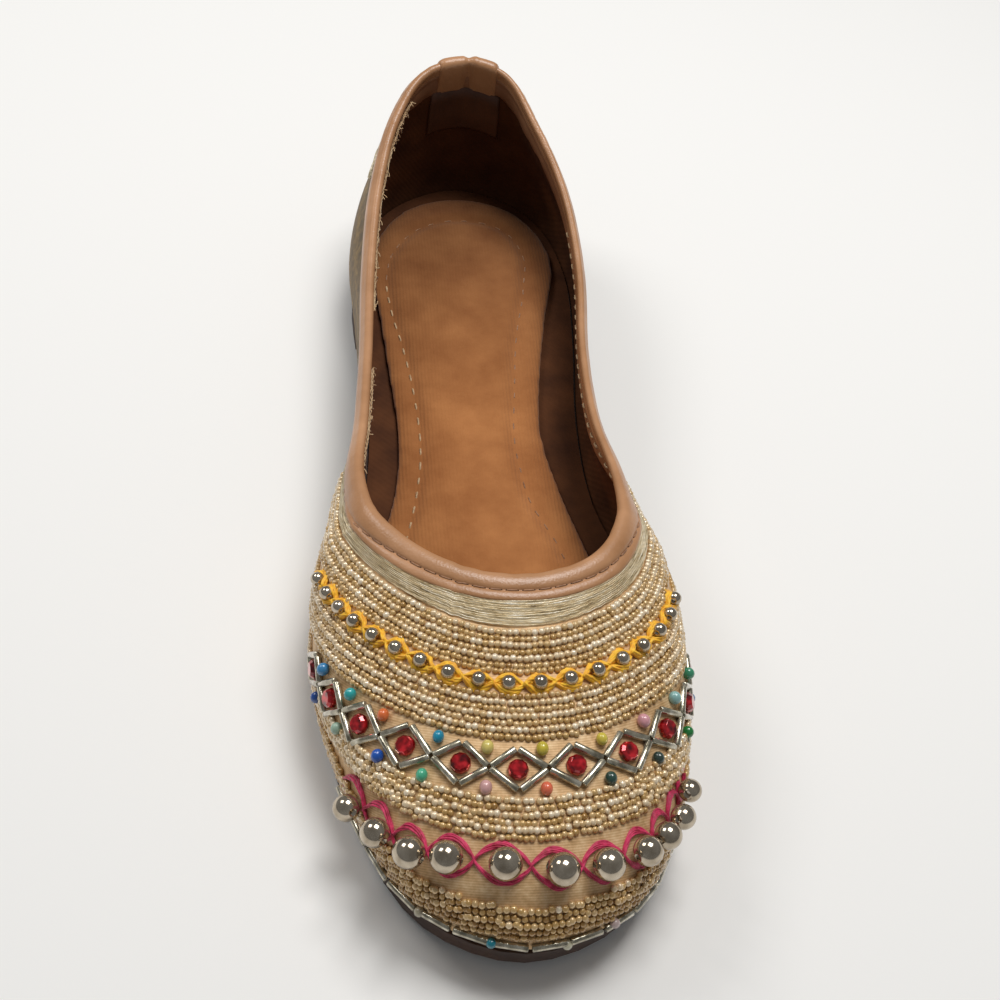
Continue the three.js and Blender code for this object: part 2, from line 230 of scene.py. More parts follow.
def leather(name, light, dark, rough, grain, depth, sheen=0.0):
    """Hide with blotches of dye, a pebble grain of one size, and a gloss softened by use."""
    made, main = finish(name, {"Roughness": rough, "Sheen Weight": sheen,
                               "Sheen Roughness": 0.5})
    place = add(made, "ShaderNodeTexCoord").outputs["Object"]
    blotch = add(made, "ShaderNodeTexNoise", inputs={
        "Vector": place, "Scale": 1 / (14 * MM), "Detail": 5.0, "Roughness": 0.6})
    feed(made, main, "Base Color", ramp(made, blotch.outputs["Fac"], [
        (0.3, dark), (0.7, light)]))
    pebbles = add(made, "ShaderNodeTexVoronoi", inputs={
        "Vector": place, "Scale": 1 / grain})
    hair = add(made, "ShaderNodeTexNoise", inputs={
        "Vector": place, "Scale": 1.5 / grain, "Detail": 4.0})
    height = add(made, "ShaderNodeMix", {"data_type": "FLOAT"}, {
        "Factor": 0.5, "A": pebbles.outputs["Distance"], "B": hair.outputs["Fac"]})
    relief = add(made, "ShaderNodeBump", inputs={
        "Strength": 0.6, "Distance": depth, "Height": height.outputs["Result"]})
    feed(made, main, "Normal", relief.outputs["Normal"])
    return made, main, place


binding_leather, _, _ = leather("tan_binding_leather", "#C29068", "#A5754D", 0.33,
                                0.55 * MM, 0.1 * MM)
facing_leather, _, _ = leather("facing_leather", "#A87A58", "#85593C", 0.5,
                               0.6 * MM, 0.09 * MM)
# Painted shade: the heel patch is coloured darker than the facing, standing for the shade
# inside the heel.
heel_patch_leather_shaded, _, _ = leather("heel_patch_leather_painted_shade", "#6B432C", "#45291A", 0.6,
                              0.6 * MM, 0.09 * MM)
sole_hide, _, _ = leather("buffalo_sole_leather", "#4E3426", "#2E1D15", 0.6,
                          1.1 * MM, 0.12 * MM)
suede, suede_shader, suede_place = leather("brushed_suede", "#B87A48", "#985E33", 0.92,
                                           0.8 * MM, 0.12 * MM, 0.15)
print("five leathers")

# %% [markdown]
# The brushed sock has been pressed on a ribbed plate, so faint lines run along it. They are
# really half a millimetre apart; they are drawn at 0.9 mm to show at all. Towards the heel the
# suede is coloured darker, as painted shade of the heel walls.

# %% Pressed lines in the suede
lines = add(suede, "ShaderNodeTexWave", {"bands_direction": "X"}, {
    "Vector": suede_place, "Scale": wave_scale(0.9 * MM), "Distortion": 1.6,
    "Detail": 2.0, "Detail Scale": 1.2})
nap = next(n for n in suede.node_tree.nodes if n.bl_idname == "ShaderNodeBump")
pressed = add(suede, "ShaderNodeBump", inputs={
    "Strength": 0.6, "Distance": 0.09 * MM, "Height": lines.outputs["Fac"],
    "Normal": nap.outputs["Normal"]})
feed(suede, suede_shader, "Normal", pressed.outputs["Normal"])
depth = add(suede, "ShaderNodeSeparateXYZ", inputs={"Vector": suede_place}).outputs["Y"]
suede_shader.inputs["Specular IOR Level"].default_value = 0.15
# Painted shade: the suede's colour is scaled down to 0.42 of itself towards the heel, where the
# heel walls shade it.
heel_shade_fall = add(suede, "ShaderNodeMapRange", inputs={
    "Value": depth, "From Min": 0.02, "From Max": 0.112, "To Min": 1.0, "To Max": 0.42})
dyed = suede_shader.inputs["Base Color"].links[0].from_socket
suede_with_heel_shade = add(suede, "ShaderNodeVectorMath", {"operation": "SCALE"}, {
    "Scale": heel_shade_fall.outputs["Result"]})
suede.node_tree.links.new(dyed, suede_with_heel_shade.inputs[0])
feed(suede, suede_shader, "Base Color", suede_with_heel_shade.outputs["Vector"])
print("suede lines 0.9 mm apart")

# %% [markdown]
# Inside, the upper is lined with a dark brown twill of spun rayon. Its diagonal is fine
# and almost matt, so in the heel it drinks the light.

# %% Lining twill
twill, shader = finish("rayon_lining_twill", {"Roughness": 0.85, "Specular IOR Level": 0.2})
space = add(twill, "ShaderNodeTexCoord").outputs["Object"]
diagonal = add(twill, "ShaderNodeTexWave", {"bands_direction": "DIAGONAL"}, {
    "Vector": space, "Scale": wave_scale(1.0 * MM), "Distortion": 0.6})
wear = add(twill, "ShaderNodeTexNoise", inputs={
    "Vector": space, "Scale": 1 / (9 * MM), "Detail": 4.0})
feed(twill, shader, "Base Color", ramp(twill, wear.outputs["Fac"], [
    (0.3, "#442615"), (0.7, "#623A20")]))
bump = add(twill, "ShaderNodeBump", inputs={
    "Strength": 0.4, "Distance": 0.1 * MM, "Height": diagonal.outputs["Fac"]})
feed(twill, shader, "Normal", bump.outputs["Normal"])
print("lining twill")

# %% [markdown]
# Zari is silvered or gilt strip wound round a silk core. Laid side by side, each thread
# catches the light a little differently along its own length: silver here, gold there,
# and a dark gap where two of them part.

# %% Zari
zari, shader = finish("zari_metal_thread", {"Metallic": 0.3, "Roughness": 0.33})
cloth = add(zari, "ShaderNodeUVMap", {"uv_map": "cloth"}).outputs["UV"]
laid = add(zari, "ShaderNodeVectorMath", {"operation": "MULTIPLY"}, {0: cloth})
laid.inputs[1].default_value = (1 / (5 * MM), 1 / (0.45 * MM), 0)
strand = add(zari, "ShaderNodeTexNoise", inputs={
    "Vector": laid.outputs["Vector"], "Scale": 1.0, "Detail": 3.0, "Roughness": 0.6})
feed(zari, shader, "Base Color", ramp(zari, strand.outputs["Fac"], [
    (0.3, "#5A4A30"), (0.4, "#BCA67E"), (0.52, "#E2D0AC"), (0.7, "#FCF4E2")]))
wound = add(zari, "ShaderNodeTexWave", {"bands_direction": "DIAGONAL"}, {
    "Vector": cloth, "Scale": wave_scale(0.8 * MM), "Distortion": 1.5})
bump = add(zari, "ShaderNodeBump", inputs={
    "Strength": 0.6, "Distance": 0.1 * MM, "Height": wound.outputs["Fac"]})
feed(zari, shader, "Normal", bump.outputs["Normal"])
print("zari")

# %% [markdown]
# The beads. Seed beads are cut from drawn glass cane lined with gold; every other row is
# coloured paler, partly as painted highlight. Bugles are longer cuts of silver-lined cane. The
# round beads are nickel plated brass. The stones are pressed red glass with foil behind them.

# %% Glass and metal finishes
seed_glass, shader = finish("gold_lined_seed_glass", {
    "Metallic": 0.2, "Roughness": 0.16, "Coat Weight": 1.0, "Coat Roughness": 0.03})
tint = add(seed_glass, "ShaderNodeAttribute", {"attribute_name": "tint"})
# Painted highlight, in part: the tint's pale end goes to the raised glint rows, its darker end
# to the rows between.
feed(seed_glass, shader, "Base Color", ramp(seed_glass, tint.outputs["Fac"], [
    (0.0, "#A2783A"), (0.35, "#C6A062"), (0.62, "#D8B784"), (1.0, "#F0DEC0")]))

nickel, shader = finish("nickel_plate", {"Metallic": 0.92, "Roughness": 0.13})
space = add(nickel, "ShaderNodeTexCoord").outputs["Object"]
tarnish = add(nickel, "ShaderNodeTexNoise", inputs={
    "Vector": space, "Scale": 1 / (2.5 * MM), "Detail": 4.0})
feed(nickel, shader, "Base Color", ramp(nickel, tarnish.outputs["Fac"], [
    (0.3, "#9E907C"), (0.7, "#CFC2AE")]))

cane_glass, shader = finish("silver_lined_cane", {
    "Metallic": 0.8, "Roughness": 0.24, "Coat Weight": 1.0, "Coat Roughness": 0.03})
space = add(cane_glass, "ShaderNodeTexCoord").outputs["Object"]
lining = add(cane_glass, "ShaderNodeTexNoise", inputs={
    "Vector": space, "Scale": 1 / (1.8 * MM), "Detail": 2.0})
feed(cane_glass, shader, "Base Color", ramp(cane_glass, lining.outputs["Fac"], [
    (0.3, "#7A735F"), (0.55, "#B8B09A"), (0.8, "#EAE4D4")]))

ruby_glass, shader = finish("foiled_red_glass", {
    "Metallic": 0.55, "Roughness": 0.07, "Coat Weight": 1.0, "Coat Roughness": 0.02})
space = add(ruby_glass, "ShaderNodeTexCoord").outputs["Object"]
# Partly the foiled glass's own uneven colour, partly painted glints and shade: the noise
# scatters dark, red and bright stops over the stones.
tone_and_painted_glints = add(ruby_glass, "ShaderNodeTexNoise", inputs={
    "Vector": space, "Scale": 1 / (1.5 * MM), "Detail": 1.0})
feed(ruby_glass, shader, "Base Color", ramp(ruby_glass, tone_and_painted_glints.outputs["Fac"], [
    (0.3, "#5A0006"), (0.5, "#B00814"), (0.7, "#F02A34")]))

dyed_glass, shader = finish("opaque_dyed_glass", {
    "Roughness": 0.22, "Coat Weight": 0.6, "Coat Roughness": 0.05})
dye = add(dyed_glass, "ShaderNodeAttribute", {"attribute_name": "dye"}).outputs["Color"]
space = add(dyed_glass, "ShaderNodeTexCoord").outputs["Object"]
swirl = add(dyed_glass, "ShaderNodeTexNoise", inputs={
    "Vector": space, "Scale": 1 / (0.9 * MM), "Detail": 2.0})
shade = add(dyed_glass, "ShaderNodeMapRange", inputs={
    "Value": swirl.outputs["Fac"], "To Min": 0.7, "To Max": 1.15})
tone = add(dyed_glass, "ShaderNodeVectorMath", {"operation": "SCALE"}, {
    "Scale": shade.outputs["Result"]})
dyed_glass.node_tree.links.new(dye, tone.inputs[0])
feed(dyed_glass, shader, "Base Color", tone.outputs["Vector"])
print("five glass and metal finishes")

# %% [markdown]
# Sewing thread is two or three plies of dyed floss. The twist is modelled, so the finish
# only needs the floss's uneven dye and a soft sheen at the edge.

# %% Threads


def floss(name, light, dark):
    """Dyed silk floss."""
    made, main = finish(name, {"Roughness": 0.5, "Sheen Weight": 0.4,
                               "Sheen Roughness": 0.4})
    place = add(made, "ShaderNodeTexCoord").outputs["Object"]
    uneven = add(made, "ShaderNodeTexNoise", inputs={
        "Vector": place, "Scale": 1 / (1.1 * MM), "Detail": 4.0})
    feed(made, main, "Base Color", ramp(made, uneven.outputs["Fac"], [
        (0.3, dark), (0.65, light)]))
    relief = add(made, "ShaderNodeBump", inputs={
        "Strength": 0.5, "Distance": 0.08 * MM, "Height": uneven.outputs["Fac"]})
    feed(made, main, "Normal", relief.outputs["Normal"])
    return made


yellow_floss = floss("turmeric_floss", "#FFCB33", "#EBA016")
pink_floss = floss("magenta_floss", "#D63062", "#98122F")
cream_thread = floss("cream_cotton_thread", "#D9B98C", "#A98257")
brown_thread = floss("brown_cotton_thread", "#A87B58", "#79502F")
# Painted shade: a near-black finish for balls that stand for the shadow inside needle holes.
needle_hole_shade, _ = finish("needle_hole", {"Base Color": colour("#1E110B"), "Roughness": 1.0})
print("four threads")

# %% [markdown]
# Every piece joins the scene in the same way: its mesh at the origin, its finishes, the body it
# rides on, and the CAD parts that it stands for, which are hidden.

# %% Piece helpers


def link_piece(name, mesh, finishes, smooth=True, stands_for=()):
    """Puts a finished mesh in the scene as one piece."""
    made = bpy.data.objects.new(name, mesh)
    bpy.context.scene.collection.objects.link(made)
    for one in finishes:
        mesh.materials.append(one)
    if smooth:
        mesh.shade_smooth()
    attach(made, "root")
    if stands_for:
        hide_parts(*stands_for)
    print(f"{name}: {len(mesh.polygons)} faces")
    return made


def to_mesh(name, bm):
    """Turns a finished bmesh into a mesh."""
    made = bpy.data.meshes.new(name)
    bm.to_mesh(made)
    bm.free()
    return made


def cad_copy(node):
    """A CAD node's loose triangles in a new bmesh, joined into one skin."""
    bm = bmesh.new()
    bm.from_mesh(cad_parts[node].data)
    bmesh.ops.remove_doubles(bm, verts=bm.verts, dist=0.002 * MM)
    return bm


def settle(obj):
    """The object's mesh with its modifiers applied."""
    graph = bpy.context.evaluated_depsgraph_get()
    return bpy.data.meshes.new_from_object(obj.evaluated_get(graph))


print("piece helpers ready")

# %% [markdown]
# The upper's skin comes from the CAD solid: joined, turned to quads, and given one
# smoothing subdivision with its cut edges kept sharp. Its cloth needs a map that follows
# the beadwork, so next come the profile lines that a pattern cutter would draw: each
# starts at the collar's cut edge and runs down to the sole.

# %% Upper's skin
bm = cad_copy("upper")
bmesh.ops.join_triangles(bm, faces=bm.faces, angle_face_threshold=math.radians(40),
                         angle_shape_threshold=math.radians(120))
crease = bm.edges.layers.float.new("crease_edge")
for edge in bm.edges:
    if edge.is_manifold and edge.calc_face_angle() > math.radians(50):
        edge[crease] = 0.8
print("quads:", sum(len(f.verts) == 4 for f in bm.faces), "of", len(bm.faces))
upper_cage = to_mesh("upper_cage", bm)
smoother = bpy.data.objects.new("smoother", upper_cage)
bpy.context.scene.collection.objects.link(smoother)
step = smoother.modifiers.new("round", "SUBSURF")
step.levels = step.render_levels = 2
upper_mesh = settle(smoother)
bpy.data.objects.remove(smoother)
bm = bmesh.new()
bm.from_mesh(upper_mesh)
upper_tree = BVHTree.FromBMesh(bm)
print("upper's skin:", len(bm.faces), "faces")

# %% [markdown]
# A place on the upper is given by its way, which is 0 at the toe, grows in degrees round
# the toe and then in millimetres back along the outer side, and is negative on the inner
# side; and by its drop, the distance down the profile line from the cut edge.

# %% Profile lines
TOE_FOCUS = station(147, -4.5)
HEEL_FOCUS = station(28, 0)
SIDE_RUN = 119
HALF_WAY = 180 + SIDE_RUN
EYE = 22 * MM
REACH = 0.2
CORNER = math.radians(40)   # past the cut face once the skin faces within this of its own way
WAY_STEP = 2.0


def spine(way):
    """The point inside the shoe that a profile line faces, and its heading."""
    side, turn = math.copysign(1, way), abs(way)
    if turn <= 90:
        foot, angle = TOE_FOCUS, turn
    elif turn <= 90 + SIDE_RUN:
        foot, angle = TOE_FOCUS.lerp(HEEL_FOCUS, (turn - 90) / SIDE_RUN), 90
    else:
        foot, angle = HEEL_FOCUS, turn - SIDE_RUN
    angle = math.radians(angle)
    return foot, Vector((side * math.sin(angle), -math.cos(angle), 0))


def trace(way, outside):
    """One profile line down from the cut edge's corner: its points and their drops."""
    foot, heading = spine(way)
    eye = foot + UP * EYE

    def hit(angle):
        ray = heading * math.cos(angle) + UP * math.sin(angle)
        if outside:
            place, _, _, far = upper_tree.ray_cast(eye + ray * REACH, -ray)
            return place if place and far < REACH else None
        return upper_tree.ray_cast(eye, ray)[0]

    angles = [math.radians(85 - 0.5 * i) for i in range(260)]
    first = next(i for i, angle in enumerate(angles) if hit(angle))
    over, under = angles[first - 1], angles[first]
    for _ in range(10):
        middle = (over + under) / 2
        over, under = (over, middle) if hit(middle) else (middle, under)
    points, drops = [hit(under)], [0.0]
    for angle in angles[first:]:
        place = hit(angle)
        if place is None:
            break
        drops.append(drops[-1] + (place - points[-1]).length)
        points.append(place)
    facings = [upper_tree.find_nearest(place)[1] for place in points]
    settled = next(n for n, drop in zip(facings, drops) if drop > 4.5 * MM)
    corner = next(d for n, d in zip(facings, drops) if n.angle(settled) < CORNER)
    return points, [drop - corner for drop in drops]


lines_outside = {}
lines_inside = {}
for k in range(round(-HALF_WAY / WAY_STEP), round(HALF_WAY / WAY_STEP) + 1):
    lines_outside[k] = trace(k * WAY_STEP, True)
    lines_inside[k] = trace(k * WAY_STEP, False)
for way in (0, 26, 38, 56, 100, 200, 298):
    print("way", way, "profile", round(lines_outside[way // 2][1][-1] / MM, 1), "mm")

# %% Places on the upper


def along(line, drop):
    """The point at a drop on one profile line, held at its ends."""
    points, drops = line
    for i in range(1, len(drops)):
        if drops[i] >= drop:
            share = (drop - drops[i - 1]) / max(drops[i] - drops[i - 1], 1e-9)
            return points[i - 1].lerp(points[i], max(0.0, share))
    return points[-1]


def place_at(way, drop, inside=False):
    """A point on the upper, and its outward normal (into the shoe where inside)."""
    lines = lines_inside if inside else lines_outside
    k = math.floor(way / WAY_STEP)
    near, far = (lines[max(min(k + i, max(lines)), min(lines))] for i in (0, 1))
    guess = along(near, drop).lerp(along(far, drop), way / WAY_STEP - k)
    place, normal, _, _ = upper_tree.find_nearest(guess)
    return place, normal


def profile_length(way):
    """How far the cloth runs down at a way, from the cut edge to the sole."""
    return lines_outside[round(way / WAY_STEP)][1][-1]


def axes_at(way, drop, lift=0.0, spin=0.0):
    """A matrix on the upper: x along the row, y down the profile, z outwards."""
    place, normal = place_at(way, drop)
    ahead = place_at(way + 0.6, drop)[0] - place_at(way - 0.6, drop)[0]
    ahead = (ahead - normal * ahead.dot(normal)).normalized()
    down = normal.cross(ahead)
    turn = Matrix((ahead, down, normal)).transposed().to_4x4()
    return Matrix.Translation(place + normal * lift) @ turn @ Matrix.Rotation(spin, 4, "Z")


print("toe profile", round(profile_length(0) / MM, 1), "mm long")

# %% [markdown]
# Near the collar the bead rows copy the collar's curve, and near the sole they copy the
# sole's. So a row named for its drop at the toe gives up part of the profile's
# shortening as it runs round, and that part grows with the drop.

# %% Bead rows
TOE_LENGTH = profile_length(0)
YIELD = [(0, 0), (5.6, 0), (11, 0.08), (23.5, 0.15), (41, 0.19), (50, 0.32),
         (58.5, 0.52), (68, 0.86), (76, 0.96), (90, 1.0)]
BEADED_BACK = 100          # the beadwork stops here on both sides


def share_given(drop):
    """How much of the shortening a row with this drop (mm) gives up."""
    for (a, low), (b, high) in zip(YIELD, YIELD[1:]):
        if drop <= b:
            return low + (high - low) * (drop - a) / (b - a)
    return 1.0


def row_drop(toe_drop, way):
    """A row's drop in metres at a way, from its drop in mm at the toe."""
    shorter = TOE_LENGTH - profile_length(way)
    return toe_drop * MM - shorter * share_given(toe_drop)


def walk(toe_drop, first, last, pitch):
    """Ways that lie one pitch apart along a row."""
    found, gone, way = [first], 0.0, first
    here = place_at(way, row_drop(toe_drop, way))[0]
    while way < last:
        way += 0.4
        there = place_at(way, row_drop(toe_drop, way))[0]
        gone += (there - here).length
        here = there
        if gone >= pitch:
            found.append(way)
            gone -= pitch
    return found


print("rows give up", share_given(23.5), "of the shortening at the small beads")

# %% [markdown]
# A pattern cutter's map for the cloth: each corner of the skin finds its own way and
# drop, so the ribs of the tissue follow the rows. The lining keeps the same skin, on the
# faces that look into the shoe.

# %% Upper's cloth map


def drop_on(line, place):
    """The drop on one profile line that is nearest to a place."""
    points, drops = line
    i = min(range(len(points)), key=lambda k: (points[k] - place).length_squared)
    first = max(0, min(i, len(points) - 2))
    if i and (i == len(points) - 1 or
              (points[i - 1] - place).length < (points[i + 1] - place).length):
        first = i - 1
    run = points[first + 1] - points[first]
    share = (place - points[first]).dot(run) / max(run.length_squared, 1e-12)
    return drops[first] + (drops[first + 1] - drops[first]) * min(max(share, 0), 1)


def locate(place):
    """The way and the drop of a point near the upper's outside."""
    if place.y < TOE_FOCUS.y:
        arm = place - TOE_FOCUS
        way = math.degrees(math.atan2(arm.x, -arm.y))
    elif place.y > HEEL_FOCUS.y:
        arm = place - HEEL_FOCUS
        turn = math.degrees(math.atan2(abs(arm.x), -arm.y))
        way = math.copysign(SIDE_RUN + turn, arm.x)
    else:
        share = (place.y - TOE_FOCUS.y) / (HEEL_FOCUS.y - TOE_FOCUS.y)
        foot = TOE_FOCUS.lerp(HEEL_FOCUS, share)
        way = math.copysign(90 + SIDE_RUN * share, place.x - foot.x)
    k = math.floor(way / WAY_STEP)
    near, far = (drop_on(lines_outside[max(min(k + i, max(lines_outside)),
                                           min(lines_outside))], place) for i in (0, 1))
    return way, near + (far - near) * (way / WAY_STEP - k)


def looks_inside(face):
    """Whether a face of the upper looks towards the foot."""
    middle = face.calc_center_median()
    along_y = min(max(middle.y, TOE_FOCUS.y - 60 * MM), HEEL_FOCUS.y)
    within = Vector((AXIS_X, along_y, 20 * MM))
    return face.normal.dot(middle - within) < 0


cloth_map = bm.loops.layers.uv.new("cloth")
bm.normal_update()
spots = {vert: locate(vert.co) for vert in bm.verts}
for face in bm.faces:
    face.smooth = True
    face.material_index = 1 if looks_inside(face) else 0
    ways = [spots[loop.vert][0] for loop in face.loops]
    wraps = max(ways) - min(ways) > HALF_WAY
    for loop, way in zip(face.loops, ways):
        way += 2 * HALF_WAY if wraps and way < 0 else 0
        loop[cloth_map].uv = (way * 0.9 * MM, spots[loop.vert][1])
link_piece("upper_cloth", to_mesh("upper_cloth", bm), [tissue, twill],
           stands_for=["upper"])

# %% [markdown]
# Strips of leather and lace that follow the collar are lofts: a section is drawn at each
# way as drops and lifts, and a flat grid's corners are carried to those places. It keeps
# the faces in order, so the strip has a map of its own for threads and grain.

# %% Loft helper


def loft(name, rows, closed=False, tube=True):
    """A skin through rows of points; closed joins the last row to the first."""
    rows = [list(row) + ([row[0]] if tube else []) for row in rows]
    if closed:
        rows.append(rows[0])
    wide, deep = len(rows) - 1, len(rows[0]) - 1
    run, fall = [0.0], [0.0]
    for a, b in zip(rows, rows[1:]):
        run.append(run[-1] + (b[deep // 2] - a[deep // 2]).length)
    for a, b in zip(rows[0], rows[0][1:]):
        fall.append(fall[-1] + (b - a).length)
    strip = bmesh.new()
    bmesh.ops.create_grid(strip, x_segments=wide, y_segments=deep, size=0.5)
    low = min(vert.co.x for vert in strip.verts)
    cell = {v: (round((v.co.x / low - 1) / -2 * wide), round((v.co.y / low - 1) / -2 * deep))
            for v in strip.verts}
    cloth_uv = strip.loops.layers.uv.new("cloth")
    for face in strip.faces:
        for loop in face.loops:
            i, j = cell[loop.vert]
            loop[cloth_uv].uv = (run[i], fall[j])
    for vert, (i, j) in cell.items():
        vert.co = rows[i][j]
    if closed or tube:
        bmesh.ops.remove_doubles(strip, verts=strip.verts, dist=0.001 * MM)
    if tube and not closed:
        bmesh.ops.holes_fill(strip, edges=strip.edges, sides=0)
    bmesh.ops.recalc_face_normals(strip, faces=strip.faces)
    return to_mesh(name, strip)


def section_at(way, outer, inner=()):
    """Points of a strip's section: (drop, lift) in mm down the outside, then inside."""
    made = []
    for drop, lift in outer:
        place, normal = place_at(way, drop * MM)
        made.append(place + normal * lift * MM)
    for drop, lift in inner:
        place, normal = place_at(way, drop * MM, inside=True)
        made.append(place + normal * lift * MM)
    return made


print("loft helper ready")

# %% [markdown]
# The collar's binding is one strip of goat leather folded over the cut edge. Over the
# edge it swells into a soft roll, below that the stitching draws it down, and then it
# plumps up again before its raw edge. Along the sides the seam runs out at the edge and
# the roll takes the whole width.

# %% Collar binding
BINDING_EDGE = 5.45        # mm down the outside to the strip's raw edge
CUT_HALF = 0.7             # half the upper's wall
PLUMP = 0.9                # how far the roll stands off the wall at the toe, in mm


def ease(value, low, high):
    """0 below low, 1 above high, and a smooth step between."""
    share = min(max((value - low) / (high - low), 0), 1)
    return share * share * (3 - 2 * share)


def puff(way):
    """How plump the binding is: full round the throat, drawn tight along the sides."""
    return 1 - (0.65 if way > 0 else 0.35) * ease(abs(way), 62, 110)


def stitch_drop(way):
    """The seam in mm down the outside: it runs off the strip's edge at the sides."""
    return 3.1 + 2.1 * ease(abs(way), 40, 96)


def binding_outside(way):
    """The strip's section from its raw edge up: a band, a seam and a roll at the throat,
    which become one plain roll along the sides."""
    full, seam, side = puff(way), stitch_drop(way), ease(abs(way), 52, 98)
    tight = 0.25 if way > 0 else 0.0
    front = [(BINDING_EDGE - 0.55, -0.5), (BINDING_EDGE - 0.1, 0.1), (BINDING_EDGE, 0.3),
             (BINDING_EDGE - 0.1, 0.7), ((BINDING_EDGE + seam) / 2, 0.86),
             (seam + 0.12, 0.62), (seam, 0.28), (seam - 0.3, 0.28 + 0.4 * full),
             (seam - 0.8, 0.92 * full), (seam * 0.42, 1.06 * full), (0.5, full)]
    plain = [(BINDING_EDGE - 0.55, -0.5), (BINDING_EDGE - 0.05, 0.05), (BINDING_EDGE, 0.25),
             (5.2, 0.5 - tight), (4.7, 0.78 - tight), (4.1, 0.98 - tight),
             (3.4, 1.12 - tight), (2.7, 1.2 - tight), (1.9, 1.22 - tight),
             (1.1, 1.14 - tight), (0.5, full + 0.06)]
    return [(a + (c - a) * side, b + (d - b) * side)
            for (a, b), (c, d) in zip(front, plain)]


def binding_inside(way):
    """The same strip's inner leg, down to where the facing covers it."""
    full = puff(way)
    return [(0.6, 0.8 * full), (1.2, 0.66 * full), (1.8, 0.5 * full), (2.4, 0.36),
            (2.9, 0.2), (3.0, 0.0), (2.6, -0.4)]


def roll_over(way, radius, steps):
    """Points over the cut edge from outside to inside, on an arc round its middle."""
    outer, inner = place_at(way, 0.3 * MM)[0], place_at(way, 0.3 * MM, inside=True)[0]
    middle = (outer + inner) / 2
    below = (place_at(way, 3 * MM)[0] + place_at(way, 3 * MM, inside=True)[0]) / 2
    crest = (middle - below).normalized()
    aside = outer - inner
    aside = (aside - crest * aside.dot(crest)).normalized()
    return [middle + (crest * math.sin(a) + aside * math.cos(a)) * radius
            for a in (math.radians(180 * (k + 1) / (steps + 1)) for k in range(steps))]


def full_loop(step):
    """Ways right round the collar."""
    count = round(2 * HALF_WAY / step)
    return [-HALF_WAY + 2 * HALF_WAY * k / count for k in range(count)]


rows = []
for way in full_loop(1.5):
    radius = (CUT_HALF + PLUMP * puff(way)) * MM
    rows.append(section_at(way, binding_outside(way)) + roll_over(way, radius, 5)
                + section_at(way, (), binding_inside(way)))
binding = link_piece("collar_roll", loft("collar_roll", rows, closed=True),
                     [binding_leather], stands_for=["collar_binding"])
step = binding.modifiers.new("soften", "SUBSURF")
step.levels = step.render_levels = 1

# %% [markdown]
# The heel tab is a second piece of the same leather. It straps the back seam from inside
# the heel, over the binding, and down the counter, and it is pinched along its middle.

# %% Heel tab
TAB_HALF = 21              # degrees of way round the heel's focus
TAB_OUTSIDE = [(33.0, -0.5), (33.9, 0.1), (34.0, 0.6), (33.2, 0.95), (29, 1.0),
               (22, 1.0), (15, 1.05), (10, 1.1), (7.5, 1.15), (5.8, 1.3), (4.5, 1.4),
               (3.0, 1.35), (1.6, 1.4), (0.5, 1.4)]
TAB_INSIDE = [(0.6, 1.25), (2, 1.15), (4, 1.05), (6, 0.95), (8, 0.85), (9.0, 0.75),
              (9.2, 0.35), (8.4, -0.4), (4, -0.5)]
rows = []
for k in range(-12, 13):
    way = HALF_WAY - abs(k) / 12 * TAB_HALF
    way = math.copysign(way, k if k else 1)
    pinch = 0.85 * math.exp(-(k / 1.3) ** 2)
    edge = 0.45 * max(0, abs(k) - 10) / 2
    outer = [(d, l - (pinch + edge if l > 0.2 else 0)) for d, l in TAB_OUTSIDE]
    inner = [(d, l - (pinch + edge if l > 0.2 else 0)) for d, l in TAB_INSIDE]
    over = roll_over(way, (CUT_HALF + 1.35 - pinch - edge) * MM, 5)
    rows.append(section_at(way, outer) + over + section_at(way, (), inner))
tab = link_piece("heel_strap", loft("heel_strap", rows), [binding_leather],
                 stands_for=["heel_tab"])
step = tab.modifiers.new("soften", "SUBSURF")
step.levels = step.render_levels = 1

# %% [markdown]
# Inside the collar a strip of the same hide, flesh side up, faces the lining, and at the heel a
# wider patch of it takes the rub of the foot. The patch is coloured darker, as painted shade of
# the heel's inside.

# %% Facing and heel patch
rows = []
for way in full_loop(2.0):
    wander = 0.5 * math.sin(way * 0.11) + 0.35 * math.sin(way * 0.31 + 1)
    deep = 8.6 + wander
    inner = [(2.0, -0.4), (2.1, 0.2), (2.7, 0.42), (3.4, 0.36), (3.9, 0.24), (4.4, 0.38),
             (6.2, 0.5), (deep - 0.5, 0.45), (deep, 0.25), (deep - 0.1, -0.4)]
    rows.append(section_at(way, (), inner))
link_piece("collar_facing", loft("collar_facing", rows, closed=True), [facing_leather])
rows = []
for k in range(-10, 11):
    way = math.copysign(HALF_WAY - abs(k) / 10 * 24, k if k else 1)
    fold = 0.35 * math.exp(-(k / 1.2) ** 2)
    inner = [(8, -0.4), (8.2, 0.75), (12, 0.8 - fold), (17, 0.72 - fold),
             (22, 0.6 - fold), (22.8, 0.3), (22.6, -0.4)]
    rows.append(section_at(way, (), inner))
link_piece("heel_patch", loft("heel_patch", rows), [heel_patch_leather_shaded])

# %% [markdown]
# Between the binding and the first beads runs a braid of zari: three fine threads
# plaited close, then eight laid cords. One loft with a ridged section does it.

# %% Zari braid
RIDGES = 11
rows = []
for step_k in range(0, 2 * 104 + 1):
    way = -104 + step_k
    top, foot = 5.2, row_drop(11.2, way) / MM
    outer = [(top, -0.4)]
    for r in range(RIDGES):
        a, b = (top + (foot - top) * (r + s) / RIDGES for s in (0.08, 0.92))
        height = (0.42 if r < 3 else 0.56) + 0.12 * math.sin(way * 0.23 + r * 2.1)
        outer += [(a, 0.0), ((2 * a + b) / 3, height), ((a + 2 * b) / 3, height), (b, 0.0)]
    outer += [(foot + 0.1, -0.4)]
    rows.append(section_at(way, outer))
link_piece("zari_braid", loft("zari_braid", rows), [zari])

# %% [markdown]
# Where the pale vamp meets the darker quarter, a couched gold cord covers the join. It is
# two plies laid side by side, from the binding down to the sole.

